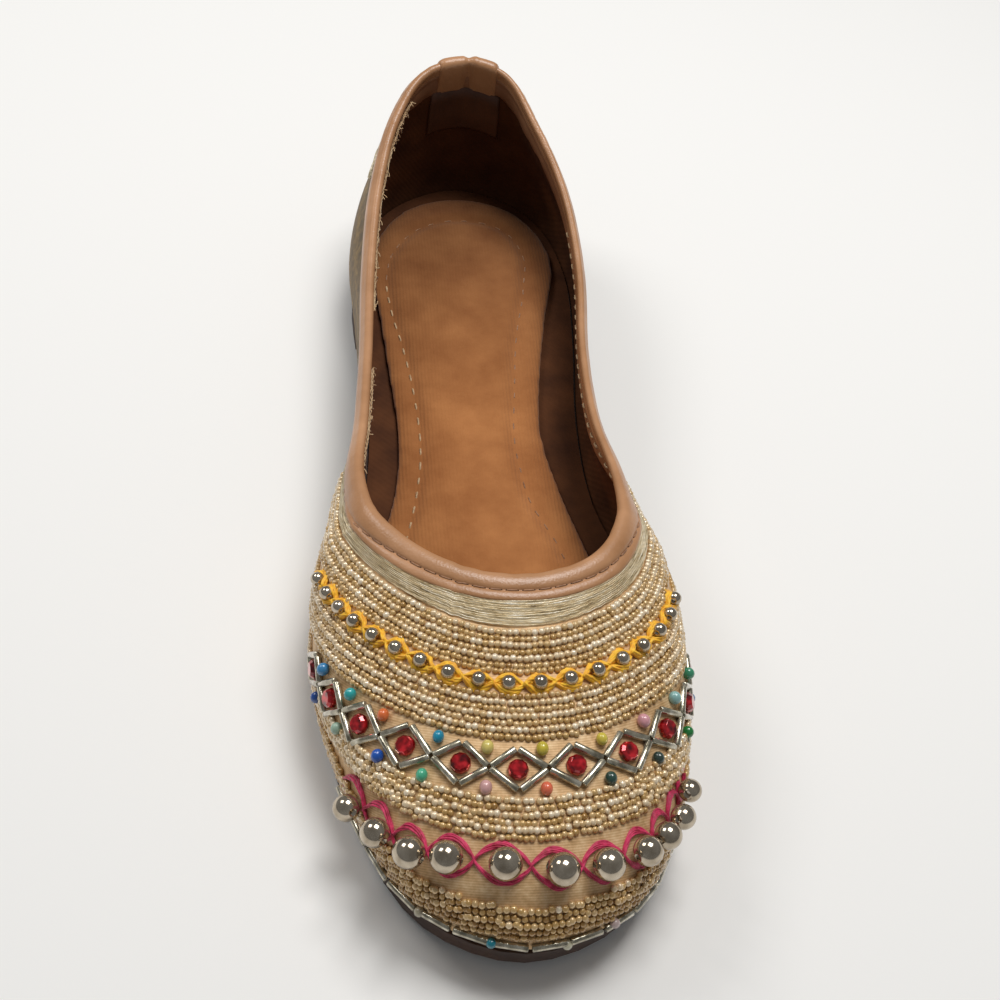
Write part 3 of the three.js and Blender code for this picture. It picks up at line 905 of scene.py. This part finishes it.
# %% Join cords
JOIN_WAY = 101
for side in (-1, 1):
    rows = []
    long = profile_length(side * JOIN_WAY) / MM
    for k in range(61):
        drop = 5.0 + (long - 5.6) * k / 60
        swing = 0.12 * math.sin(k * 1.9)
        row = []
        for across, lift in ((-1.0, -0.2), (-0.9, 0.45), (-0.45, 0.62), (0.0, 0.28),
                             (0.45, 0.62), (0.9, 0.45), (1.0, -0.2)):
            place, normal = place_at(side * JOIN_WAY + across * 0.9 + swing, drop * MM)
            row.append(place + normal * lift * MM)
        rows.append(row)
    name = "join_cord_outer" if side > 0 else "join_cord_inner"
    link_piece(name, loft(name, rows), [zari])

# %% [markdown]
# A second, narrower braid lies under the binding round the back of the heel. It stops
# short on both quarters, and each half ends under the tab.

# %% Heel braid
HEEL_BRAID_START, UNDER_TAB = 206, 17
for side in (-1, 1):
    rows = []
    for way in range(HEEL_BRAID_START, HALF_WAY - UNDER_TAB + 1):
        outer = [(5.3, -0.4)]
        for r in range(6):
            a, b = (5.3 + r + 0.08, 5.3 + r + 0.92)
            height = 0.8 + 0.15 * math.sin(way * 0.31 + r * 1.7)
            outer += [(a, 0.0), ((2 * a + b) / 3, height), ((a + 2 * b) / 3, height),
                      (b, 0.0)]
        rows.append(section_at(side * way, outer + [(11.4, -0.4)]))
    name = "heel_braid_outer" if side > 0 else "heel_braid_inner"
    link_piece(name, loft(name, rows), [zari])

# %% [markdown]
# Small hard things are made once as a pattern and stamped wherever they belong. A seed
# bead is only a few dozen faces, because there are thousands; a large bead can afford a
# real drilled hole.

# %% Stamping


def pattern(name, bm, layer=None):
    """Keeps a bmesh as a mesh to stamp, with an empty layer of the same kind."""
    if layer == "tint":
        bm.verts.layers.float.new("tint")
    if layer == "dye":
        bm.verts.layers.float_color.new("dye")
    return to_mesh(name, bm)


def stamp(bm, mesh, matrix, layer=None, value=None):
    """Adds one copy of a pattern at a place; returns nothing."""
    first = len(bm.verts)
    bm.from_mesh(mesh)
    bm.verts.ensure_lookup_table()
    fresh = bm.verts[first:]
    bmesh.ops.transform(bm, matrix=matrix, verts=fresh)
    if layer:
        kinds = bm.verts.layers
        kept = (kinds.float if layer == "tint" else kinds.float_color).get(layer)
        for vert in fresh:
            vert[kept] = value


def round_bead(radius, hole, around, tall):
    """A ball with a hole drilled through it along x."""
    ball = bmesh.new()
    bmesh.ops.create_uvsphere(ball, u_segments=around, v_segments=tall, radius=radius)
    lids = [f for f in ball.faces
            if max(Vector(v.co.xy).length for v in f.verts) < hole * 1.01]
    bmesh.ops.delete(ball, geom=lids, context="FACES")
    poles = [v for v in ball.verts if not v.link_faces]
    bmesh.ops.delete(ball, geom=poles, context="VERTS")
    rims = [e for e in ball.edges if e.is_boundary]
    for vert in {v for e in rims for v in e.verts}:
        flat = Vector((vert.co.x, vert.co.y))
        vert.co.xy = flat.normalized() * hole
    bmesh.ops.bridge_loops(ball, edges=rims)
    bmesh.ops.recalc_face_normals(ball, faces=ball.faces)
    bmesh.ops.rotate(ball, verts=ball.verts, matrix=Matrix.Rotation(math.pi / 2, 3, "Y"))
    return ball


ball = bmesh.new()
bmesh.ops.create_uvsphere(ball, u_segments=8, v_segments=6, radius=1.0)
bmesh.ops.rotate(ball, verts=ball.verts, matrix=Matrix.Rotation(math.pi / 2, 3, "Y"))
seed_pattern = pattern("seed_pattern", ball, "tint")
print("a seed bead has", len(seed_pattern.polygons), "faces")

# %% [markdown]
# The seeds are couched in close rows, a pale raised one and then a darker golden one. The two
# tones are partly painted highlight and shade, standing for the glints that catch every other
# row. Each bead differs a little in size and in lining, which is what makes the field glitter.

# %% Seed beads
SHADED_ROWS_BELOW = 62          # mm: the rows at the sole are coloured browner, as painted shade
SEED = 0.72 * MM
dice = random.Random(7)
FIELDS = {
    "seed_beads_throat": [12.5, 13.95, 15.4, 16.85, 18.3, 19.75, 21.0,
                          26.2, 27.6, 29.0, 30.4, 31.8, 33.2, 34.6],
    "seed_beads_toe": [47.0, 48.4, 49.8, 51.2, 52.6, 54.0,
                       67.4, 68.8, 70.2, 71.6, 73.0],
}
PALE_GLINT_ROWS = {12.5, 15.4, 18.3, 27.6, 30.4, 33.2, 47.0, 49.8, 52.6, 67.4, 70.2}
for name, drops in FIELDS.items():
    bm = bmesh.new()
    bm.verts.layers.float.new("tint")
    count = 0
    for toe_drop in drops:
        pale_glint_row = toe_drop in PALE_GLINT_ROWS
        first = -BEADED_BACK + dice.uniform(0, 1.3)
        for way in walk(toe_drop, first, BEADED_BACK, 1.26 * MM):
            drop = row_drop(toe_drop, way)
            room = profile_length(way) - 3.5 * MM
            if drop > room and toe_drop < 60:
                continue
            if toe_drop > 60 and drop < row_drop(54.0, way) + 2.5 * MM:
                continue
            size = SEED * (1.05 if pale_glint_row else 1.0) * dice.uniform(0.93, 1.06)
            nudge = dice.gauss(0, 0.08 * MM)
            # Painted highlight and shade, in part: glint rows take a pale tone, the rows
            # between a darker golden one.
            tone = dice.gauss(0.76, 0.15) if pale_glint_row else dice.gauss(0.42, 0.16)
            # Painted shade: rows below this drop get a browner tone, standing for the shade
            # near the sole.
            tone -= 0.3 if toe_drop > SHADED_ROWS_BELOW else 0
            lean = Matrix.Rotation(dice.gauss(0, 0.15), 4, "Z")
            stretch = Matrix.Diagonal((size * 0.97, size * 1.06, size * 0.92, 1))
            stamp(bm, seed_pattern,
                  axes_at(way, drop + nudge, size * (0.66 if pale_glint_row else 0.4)) @ lean @ stretch,
                  "tint", min(max(tone, 0), 1))
            count += 1
    link_piece(name, to_mesh(name, bm), [seed_glass])
    print(count, "seeds")

# %% [markdown]
# Twisted thread: two plies wind round the line of the thread. A curve with a round bevel
# sweeps each ply, which is quicker and rounder than extruding rings one by one.

# %% Thread helpers


def sweep(name, lines, radius, finishes, fine=1):
    """Round threads of one radius along lists of points."""
    data = bpy.data.curves.new(name, "CURVE")
    data.dimensions, data.use_fill_caps = "3D", True
    data.bevel_depth, data.bevel_resolution = radius, fine
    for line in lines:
        spline = data.splines.new("POLY")
        spline.points.add(len(line) - 1)
        for point, place in zip(spline.points, line):
            point.co = (*place, 1)
    holder = bpy.data.objects.new(name + "_line", data)
    bpy.context.scene.collection.objects.link(holder)
    mesh = settle(holder)
    bpy.data.objects.remove(holder)
    mesh.name = name
    return link_piece(name, mesh, finishes)


def plies(path, radius, pitch, phase=0.0):
    """Two plies round a path of (place, normal)."""
    first, second, gone = [], [], 0.0
    for i, (place, normal) in enumerate(path):
        ahead = path[min(i + 1, len(path) - 1)][0] - path[max(i - 1, 0)][0]
        side = normal.cross(ahead).normalized()
        if i:
            gone += (place - path[i - 1][0]).length
        angle = phase + math.tau * gone / pitch
        arm = (normal * math.sin(angle) + side * math.cos(angle)) * radius
        first.append(place + arm)
        second.append(place - arm)
    return [first, second]


def on_upper(way, drop, lift):
    """A place above the cloth, with its normal."""
    place, normal = place_at(way, drop)
    return place + normal * lift, normal


print("thread helpers ready")

# %% [markdown]
# Eighteen small nickel beads sit in a row across the vamp, each in a lens of turmeric
# floss: two threads swing out round every bead and cross between one and the next.

# %% Small beads in yellow floss
SMALL_ROW, SMALL_COUNT, SMALL_RADIUS = 23.8, 18, 1.52 * MM
SMALL_FIRST, SMALL_LAST = -62, 53


def even_ways(toe_drop, first, last, count):
    """Evenly spaced ways along a row."""
    fine = walk(toe_drop, first, last, 0.3 * MM)
    return [fine[round(k * (len(fine) - 1) / (count - 1))] for k in range(count)]


bead_pattern = to_mesh("small_bead", round_bead(SMALL_RADIUS, 0.5 * MM, 20, 12))
small_ways = even_ways(SMALL_ROW, SMALL_FIRST, SMALL_LAST, SMALL_COUNT)
bm = bmesh.new()
for way in small_ways:
    stamp(bm, bead_pattern, axes_at(way, row_drop(SMALL_ROW, way), 1.5 * MM,
                                    dice.gauss(0, 0.25)))
link_piece("small_beads", to_mesh("small_beads", bm), [nickel])


def looped(toe_drop, centres, swing, lift, side, samples=26):
    """A path that bows out round each bead on alternate sides and crosses between."""
    path = []
    ends = [1.5 * centres[0] - 0.5 * centres[1]]
    ends += [(a + b) / 2 for a, b in zip(centres, centres[1:])]
    ends += [1.5 * centres[-1] - 0.5 * centres[-2]]
    for k, (a, b) in enumerate(zip(ends, ends[1:])):
        way_out = side if k % 2 == 0 else -side
        for s in range(samples):
            t = s / samples
            way = a + (b - a) * t
            bow = way_out * swing * math.sin(math.pi * t)
            rise = lift * (1 + 0.5 * math.cos(math.tau * t) * way_out * side)
            path.append(on_upper(way, row_drop(toe_drop, way) + bow, rise))
    return path


lines = []
for swing, lift, phase in ((0.5, 0.3, 0.6), (0.95, 0.45, 2.1), (1.35, 0.9, 0.0),
                           (1.65, 0.75, 1.3), (1.95, 0.55, 2.4), (2.25, 0.35, 4)):
    for side in (1, -1):
        path = looped(SMALL_ROW, small_ways, swing * MM, lift * MM, side)
        lines += plies(path, 0.16 * MM, 5.5 * MM, phase + side)
sweep("yellow_floss_loops", lines, 0.26 * MM, [yellow_floss])

# %% [markdown]
# The stones sit in diamonds of bugles. The diamonds share their side corners, so they
# make one zigzag chain round the toe. Where two of them meet, a coloured seed fills the
# notch above and another the notch below.

# %% Bugles and stones
STONE_ROW, STONE_RADIUS = 41.0, 2.15 * MM
STONE_COUNT, STONE_FIRST, STONE_LAST = 11, -47.5, 47
BUGLE_RADIUS = 0.78 * MM
DIAMOND_HIGH = 4.2 * MM


def bugle(length):
    """A short cut of cane along x with softened ends."""
    cane = bmesh.new()
    bmesh.ops.create_cone(cane, cap_ends=True, segments=12, radius1=BUGLE_RADIUS,
                          radius2=BUGLE_RADIUS, depth=length)
    ends = [e for e in cane.edges if len({round(v.co.z, 7) for v in e.verts}) == 1]
    bmesh.ops.bevel(cane, geom=ends, offset=0.22 * MM, offset_type="OFFSET", segments=2,
                    profile=0.5, affect="EDGES", material=-1)
    bmesh.ops.rotate(cane, verts=cane.verts, matrix=Matrix.Rotation(math.pi / 2, 3, "Y"))
    return to_mesh("bugle", cane)


def lay_bugle(bm, start, end, lift):
    """A bugle on the cloth between two (way, drop) places."""
    a, _ = on_upper(*start, lift)
    b, normal = on_upper(*end, lift)
    middle, ahead = (a + b) / 2, (b - a)
    cut = bugle(ahead.length - 0.7 * MM)
    ahead = ahead.normalized()
    side = normal.cross(ahead).normalized()
    turn = Matrix((ahead, side, ahead.cross(side))).transposed().to_4x4()
    stamp(bm, cut, Matrix.Translation(middle) @ turn)


stone_ways = even_ways(STONE_ROW, STONE_FIRST, STONE_LAST, STONE_COUNT)
corners = [1.5 * stone_ways[0] - 0.5 * stone_ways[1]]
corners += [(a + b) / 2 for a, b in zip(stone_ways, stone_ways[1:])]
corners += [1.5 * stone_ways[-1] - 0.5 * stone_ways[-2]]
bm = bmesh.new()
for centre, left, right in zip(stone_ways, corners, corners[1:]):
    middle = row_drop(STONE_ROW, centre)
    left_end = (left, row_drop(STONE_ROW, left))
    right_end = (right, row_drop(STONE_ROW, right))
    for high in (-1, 1):
        tip = (centre, middle + high * DIAMOND_HIGH)
        lay_bugle(bm, left_end, tip, 0.8 * MM)
        lay_bugle(bm, tip, right_end, 0.8 * MM)
link_piece("bugle_diamonds", to_mesh("bugle_diamonds", bm), [cane_glass])

gem = bmesh.new()
bmesh.ops.create_uvsphere(gem, u_segments=10, v_segments=8, radius=STONE_RADIUS)
bmesh.ops.bisect_plane(gem, geom=gem.verts[:] + gem.edges[:] + gem.faces[:],
                       plane_co=(0, 0, 0.72 * STONE_RADIUS), plane_no=(0, 0, 1),
                       clear_outer=True)
bmesh.ops.holes_fill(gem, edges=gem.edges, sides=0)
gem_pattern = to_mesh("gem", gem)
bm = bmesh.new()
for way in stone_ways:
    seat = axes_at(way, row_drop(STONE_ROW, way), 0.5 * MM, dice.uniform(0, 1))
    stamp(bm, gem_pattern, seat @ Matrix.Diagonal((1, 1, 0.85, 1)))
link_piece("red_stones", to_mesh("red_stones", bm), [ruby_glass],
           smooth=False)

# %% Coloured seeds
ABOVE = ["#3F86B8", "#2FA6A6", "#E5743C", "#1B8FAE", "#E0CC70", "#D0BC40", "#D6C24A",
         "#D79AA0", "#8DB9B4", "#3C8F6A"]
BELOW = ["#1F4D9C", "#9DB7A2", "#1D55B0", "#4FB48C", "#D9A7A2", "#E8704F", "#2C4A3F",
         "#31423A", "#1F7A38", "#2C6FA0"]
ball = bmesh.new()
bmesh.ops.create_uvsphere(ball, u_segments=14, v_segments=10, radius=1.0)
bmesh.ops.rotate(ball, verts=ball.verts, matrix=Matrix.Rotation(math.pi / 2, 3, "Y"))
dyed_pattern = pattern("dyed_pattern", ball, "dye")
bm = bmesh.new()
bm.verts.layers.float_color.new("dye")
for k, way in enumerate(corners[1:-1]):
    for high, codes in ((-1, ABOVE), (1, BELOW)):
        size = dice.uniform(1.3, 1.5) * MM
        seat = axes_at(way + dice.gauss(0, 0.4),
                       row_drop(STONE_ROW, way) + high * 3.9 * MM, 1.0 * MM)
        stamp(bm, dyed_pattern, seat @ Matrix.Diagonal((size * 0.85, size, size, 1)),
              "dye", colour(codes[k]))
for way, code in ((-3.5, "#157C8C"), (5, "#C9C3A8"), (11, "#BFA9A4"), (-12, "#B9B096")):
    size = 1.05 * MM
    seat = axes_at(way, row_drop(75.6, way), 0.9 * MM)
    stamp(bm, dyed_pattern, seat @ Matrix.Diagonal((size, size, size, 1)),
          "dye", colour(code))
link_piece("coloured_seeds", to_mesh("coloured_seeds", bm), [dyed_glass])

# %% [markdown]
# The large nickel beads have CAD solids, so their places come straight from the frame.
# Each gets a drilled hole that points along its row, and a chain of magenta floss loops
# round them as the yellow one does above.

# %% Large beads in pink floss
LARGE = sorted(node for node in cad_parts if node.startswith("bead_large"))
large = []
for node in LARGE:
    low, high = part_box(node)
    centre = (low + high) / 2
    large.append((locate(centre)[0], centre, (high.z - low.z) / 2))
large.sort(key=lambda bead: bead[0])
large_ways = [way for way, _, _ in large]
bm = bmesh.new()
for way, centre, radius in large:
    turn = axes_at(way, row_drop(58.5, way), 0, dice.gauss(0, 0.2))
    turn.translation = centre
    stamp(bm, to_mesh("large_bead", round_bead(radius, 0.75 * MM, 28, 18)), turn)
link_piece("large_beads", to_mesh("large_beads", bm), [nickel],
           stands_for=LARGE)


def drop_between(way):
    """The large beads' own row, read from their places."""
    spots_here = [(w, locate(centre)[1]) for w, centre, _ in large]
    for (a, low), (b, high) in zip(spots_here, spots_here[1:]):
        if way <= b or b == large_ways[-1]:
            return low + (high - low) * (way - a) / (b - a)


lines = []
ends = [1.5 * large_ways[0] - 0.5 * large_ways[1]]
ends += [(a + b) / 2 for a, b in zip(large_ways, large_ways[1:])]
ends += [1.5 * large_ways[-1] - 0.5 * large_ways[-2]]
for swing, lift, phase in ((2.95, 0.6, 0.0), (3.25, 0.5, 1.0), (3.55, 0.4, 2.0),
                           (3.85, 0.3, 4.0)):
    for side in (1, -1):
        path = []
        for k, (a, b) in enumerate(zip(ends, ends[1:])):
            way_out = side if k % 2 == 0 else -side
            for s in range(34):
                t = s / 34
                way = a + (b - a) * t
                bow = way_out * swing * MM * math.sin(math.pi * t) ** 0.8
                path.append(on_upper(way, drop_between(way) + bow, lift * MM))
        lines += plies(path, 0.15 * MM, 9 * MM, phase)
sweep("pink_floss_loops", lines, 0.2 * MM, [pink_floss])

# %% [markdown]
# A last row of bugles lies end to end where the vamp meets the sole.

# %% Bottom bugles
bm = bmesh.new()
way = -30.0
while way < 30:
    far = way + 4.4
    lay_bugle(bm, (way, row_drop(75.6, way)), (far, row_drop(75.6, far)), 0.8 * MM)
    way = far
link_piece("bottom_bugles", to_mesh("bottom_bugles", bm), [cane_glass])

# %% [markdown]
# The sock is a thin foam pad under brushed suede. A pad has no hard corner: it crowns
# towards its middle, rolls down at its rim, and is drawn in where it is stitched. It is
# remeshed from its CAD solid and shaped by those three rules.

# %% Padded sock
STITCH_PATH = [(145.5, 16.5), (138.9, 14.7), (134.5, 12.9), (126.4, 9.9), (116.8, 8.6),
               (106.8, 7.9), (89.7, 9.4), (71.2, 11.5), (51.3, 15.4), (36, 16.5),
               (25.5, 11.5), (21.8, 1.5), (24, -9.5), (33, -18.5), (46, -22.6),
               (60.6, -22.0), (74.7, -19.5), (87.1, -17.7), (98.9, -16.6),
               (110.3, -16.4), (123.1, -17.9), (133.5, -20.0), (143, -22.5)]
stitch_points = [station(*spot) for spot in STITCH_PATH]


def smooth_line(points, steps):
    """A rounded line through points, by a Bezier curve's own evaluation."""
    data = bpy.data.curves.new("guide", "CURVE")
    data.dimensions, data.resolution_u = "3D", steps
    spline = data.splines.new("BEZIER")
    spline.bezier_points.add(len(points) - 1)
    for knot, place in zip(spline.bezier_points, points):
        knot.co, knot.handle_left_type, knot.handle_right_type = place, "AUTO", "AUTO"
    holder = bpy.data.objects.new("guide", data)
    bpy.context.scene.collection.objects.link(holder)
    made = [v.co.copy() for v in settle(holder).vertices]
    bpy.data.objects.remove(holder)
    return made


stitch_line = smooth_line(stitch_points, 10)


def from_line(place, line):
    """The level distance from a place to a line of points."""
    return min(math.hypot(place.x - p.x, place.y - p.y) for p in line)


CROWN, CROWN_REACH = 1.3, 7 * MM      # mm of rise, and how far in it has mostly risen
ROLL, ROLL_REACH = 0.55, 1.3 * MM     # mm the rim drops
DRAW, DRAW_REACH = 1.5, 1.1 * MM      # mm the stitches pull down
bm = cad_copy("footbed")
pad = bpy.data.objects.new("pad_guide", to_mesh("pad_guide", bm))
bpy.context.scene.collection.objects.link(pad)
remesh = pad.modifiers.new("voxels", "REMESH")
remesh.mode, remesh.voxel_size = "VOXEL", 0.7 * MM
pad_mesh = settle(pad)
bpy.data.objects.remove(pad)
bm = bmesh.new()
bm.from_mesh(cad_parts["footbed"].data)
footbed_tree = BVHTree.FromBMesh(bm)
bm.free()


def pad_depth(place):
    """The level distance from a place to the pad's rim, by rays in eight directions."""
    start = Vector((place.x, place.y, place.z))
    under = footbed_tree.ray_cast(Vector((place.x, place.y, 0.1)), -UP)[0]
    if under is None:
        return 0.0
    start.z = under.z - 1.2 * MM
    shortest = 20 * MM
    for k in range(12):
        a = math.tau * k / 12
        far = footbed_tree.ray_cast(start, Vector((math.cos(a), math.sin(a), 0)), shortest)[3]
        if far is not None:
            shortest = min(shortest, far)
    return shortest


bm = bmesh.new()
bm.from_mesh(pad_mesh)
for _ in range(3):
    bmesh.ops.smooth_vert(bm, verts=bm.verts, factor=0.5, use_axis_x=True,
                          use_axis_y=True, use_axis_z=True)
    for vert in bm.verts:
        vert.co = footbed_tree.find_nearest(vert.co)[0]
bm.to_mesh(pad_mesh)
bm.free()
for vert in pad_mesh.vertices:
    if vert.normal.z < 0.2:
        continue
    place = vert.co
    deep = pad_depth(place)
    sewn = from_line(place, stitch_line)
    crown = CROWN * (1 - math.exp(-deep / CROWN_REACH))
    roll = -ROLL * math.exp(-(deep / ROLL_REACH))
    draw = -DRAW * math.exp(-(sewn / DRAW_REACH) ** 2)
    vert.co.z += (crown + roll + draw) * MM
bm = bmesh.new()
bm.from_mesh(pad_mesh)
for _ in range(7):
    bmesh.ops.smooth_vert(bm, verts=bm.verts, factor=0.5, use_axis_x=True,
                          use_axis_y=True, use_axis_z=True)
pad_tree = BVHTree.FromBMesh(bm)
sock = link_piece("padded_sock", to_mesh("padded_sock", bm), [suede],
                  stands_for=["footbed"])

# %% [markdown]
# Hand stitches are short dashes whose ends dive into the leather. A row of them follows
# any line on any surface: each dash asks the surface for its height.

# %% Stitches


def dashes(path, length, gap, rise):
    """Splits a path of (place, normal) into stitches that dive at both ends."""
    made, now, gone, on = [], [], 0.0, True
    for (a, _), (b, normal) in zip(path, path[1:]):
        gone += (b - a).length
        if on:
            now.append(b + normal * rise)
        if gone >= (length if on else gap):
            if on and len(now) > 2:
                now[0] = now[0] - normal * rise * 3
                now[-1] = now[-1] - normal * rise * 3
                made.append(now)
            now, gone, on = [], 0.0, not on
    return made


fine = []
for a, b in zip(stitch_line, stitch_line[1:]):
    steps = max(1, round((b - a).length / (0.5 * MM)))
    fine += [a.lerp(b, k / steps) for k in range(steps)]
path, bright, sunk = [], [], []
for place in fine:
    seat, normal, _, _ = pad_tree.ray_cast(Vector((place.x, place.y, 0.1)), -UP)
    if seat:
        path.append((seat, normal))
FRESH_FROM = HEEL_Y - 50 * MM       # on the inner side the thread is still pale
for dash in dashes(path, 2.7 * MM, 1.7 * MM, 0.16 * MM):
    fresh = dash[0].y < FRESH_FROM and dash[0].x < AXIS_X
    (bright if fresh else sunk).append(dash)
sweep("sock_stitches", bright, 0.25 * MM, [cream_thread])
sweep("worn_sock_stitches", [[p - UP * 0.1 * MM for p in dash] for dash in sunk],
      0.16 * MM, [brown_thread])

SEAM_END = 92
path = [place_at(w * 0.4, stitch_drop(w * 0.4) * MM)
        for w in range(round(-SEAM_END / 0.4), round(SEAM_END / 0.4) + 1)]
path = [(p + n * 0.42 * MM, n) for p, n in path]
binding_dashes = dashes(path, 2.5 * MM, 0.8 * MM, 0.14 * MM)
sweep("binding_stitches", binding_dashes, 0.2 * MM, [brown_thread])
# %% Strap and facing stitches
lines = []
for side in (-1, 1):
    way = side * (HALF_WAY - TAB_HALF + 3.2)
    path = [place_at(way, (7 + k * 0.4) * MM) for k in range(61)]
    lines += dashes([(p + n * 1.1 * MM, n) for p, n in path], 2.2 * MM, 0.9 * MM, 0.14 * MM)
sweep("strap_stitches", lines, 0.2 * MM, [brown_thread])
lines = []
for low, high in ((-178, -100), (58, 186)):
    path = [place_at(w * 0.4, 3.9 * MM, inside=True)
            for w in range(round(low / 0.4), round(high / 0.4))]
    lines += dashes([(p + n * 0.32 * MM, n) for p, n in path], 2.4 * MM, 1.2 * MM, 0.2 * MM)
sweep("facing_stitches", lines, 0.24 * MM, [cream_thread])

# %% Needle holes
# Painted shade: dark balls at both ends of each binding stitch stand for the shadow in its
# needle holes.
ball = bmesh.new()
bmesh.ops.create_uvsphere(ball, u_segments=8, v_segments=6, radius=0.4 * MM)
hole_pattern = to_mesh("needle_hole", ball)
bm = bmesh.new()
for dash in binding_dashes:
    stamp(bm, hole_pattern, Matrix.Translation(dash[0]))
    stamp(bm, hole_pattern, Matrix.Translation(dash[-1]))
link_piece("needle_holes", to_mesh("needle_holes", bm), [needle_hole_shade])

# %% [markdown]
# Along the inner side the lining's raw edge has frayed out from under the roll. It is a
# pale loose yarn with short hairs standing off it.

# %% Frayed edge
hairs = []
for low, high in ((-248, -152), (-132, -92)):
    for yarn in range(3):
        line = []
        for k in range(int((high - low) / 0.8)):
            way = low + k * 0.8
            drop = 1.9 + 0.3 * math.sin(way * 0.9 + yarn * 2) + dice.gauss(0, 0.1)
            place, normal = place_at(way, drop * MM, inside=True)
            lift = PLUMP * puff(way) + 0.35 + 0.25 * math.sin(way * 1.3 + yarn * 2.4)
            line.append(place + normal * lift * MM)
        hairs.append(line)
    for way in range(low, high, 2):
        way += dice.uniform(-1.5, 1.5)
        start, normal = place_at(way, 1.9 * MM, inside=True)
        end, _ = place_at(way + dice.uniform(-1.6, 1.6), dice.uniform(1.0, 4.0) * MM,
                          inside=True)
        start, end = start + normal * 1.1 * MM, end + normal * dice.uniform(1.0, 2.2) * MM
        hairs.append([start, (start + end) / 2 + normal * 0.2 * MM, end])
sweep("frayed_lining_edge", hairs, 0.14 * MM, [cream_thread])

# %% [markdown]
# The sole is one thickness of buffalo hide with a low heel. The CAD solid already has
# its shape, so a copy is cleaned of its flat triangles and its edges are eased.

# %% Sole
bm = cad_copy("outsole")
bmesh.ops.dissolve_limit(bm, angle_limit=math.radians(0.6), verts=bm.verts,
                         edges=bm.edges)
sharp = [e for e in bm.edges if e.is_manifold and e.calc_face_angle() > math.radians(40)]
bmesh.ops.bevel(bm, geom=sharp, offset=0.7 * MM, offset_type="OFFSET", segments=3,
                profile=0.5, affect="EDGES", material=-1, clamp_overlap=True)
bmesh.ops.recalc_face_normals(bm, faces=bm.faces)
sole_mesh = to_mesh("sole", bm)
link_piece("sole", sole_mesh, [sole_hide], stands_for=["outsole"])

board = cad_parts["insole_board"]
board.material_slots[0].material = twill
print("insole board takes the lining's twill")

# %% [markdown]
# Last, a plain pale floor to stand on.

# %% Floor
floor_data = bmesh.new()
bmesh.ops.create_grid(floor_data, x_segments=1, y_segments=1, size=3.0)
floor = bpy.data.objects.new("floor", to_mesh("floor", floor_data))
bpy.context.scene.collection.objects.link(floor)
pale, shader = finish("pale_floor", {"Roughness": 0.9, "Base Color": colour("#F4F2EE")})
floor.data.materials.append(pale)
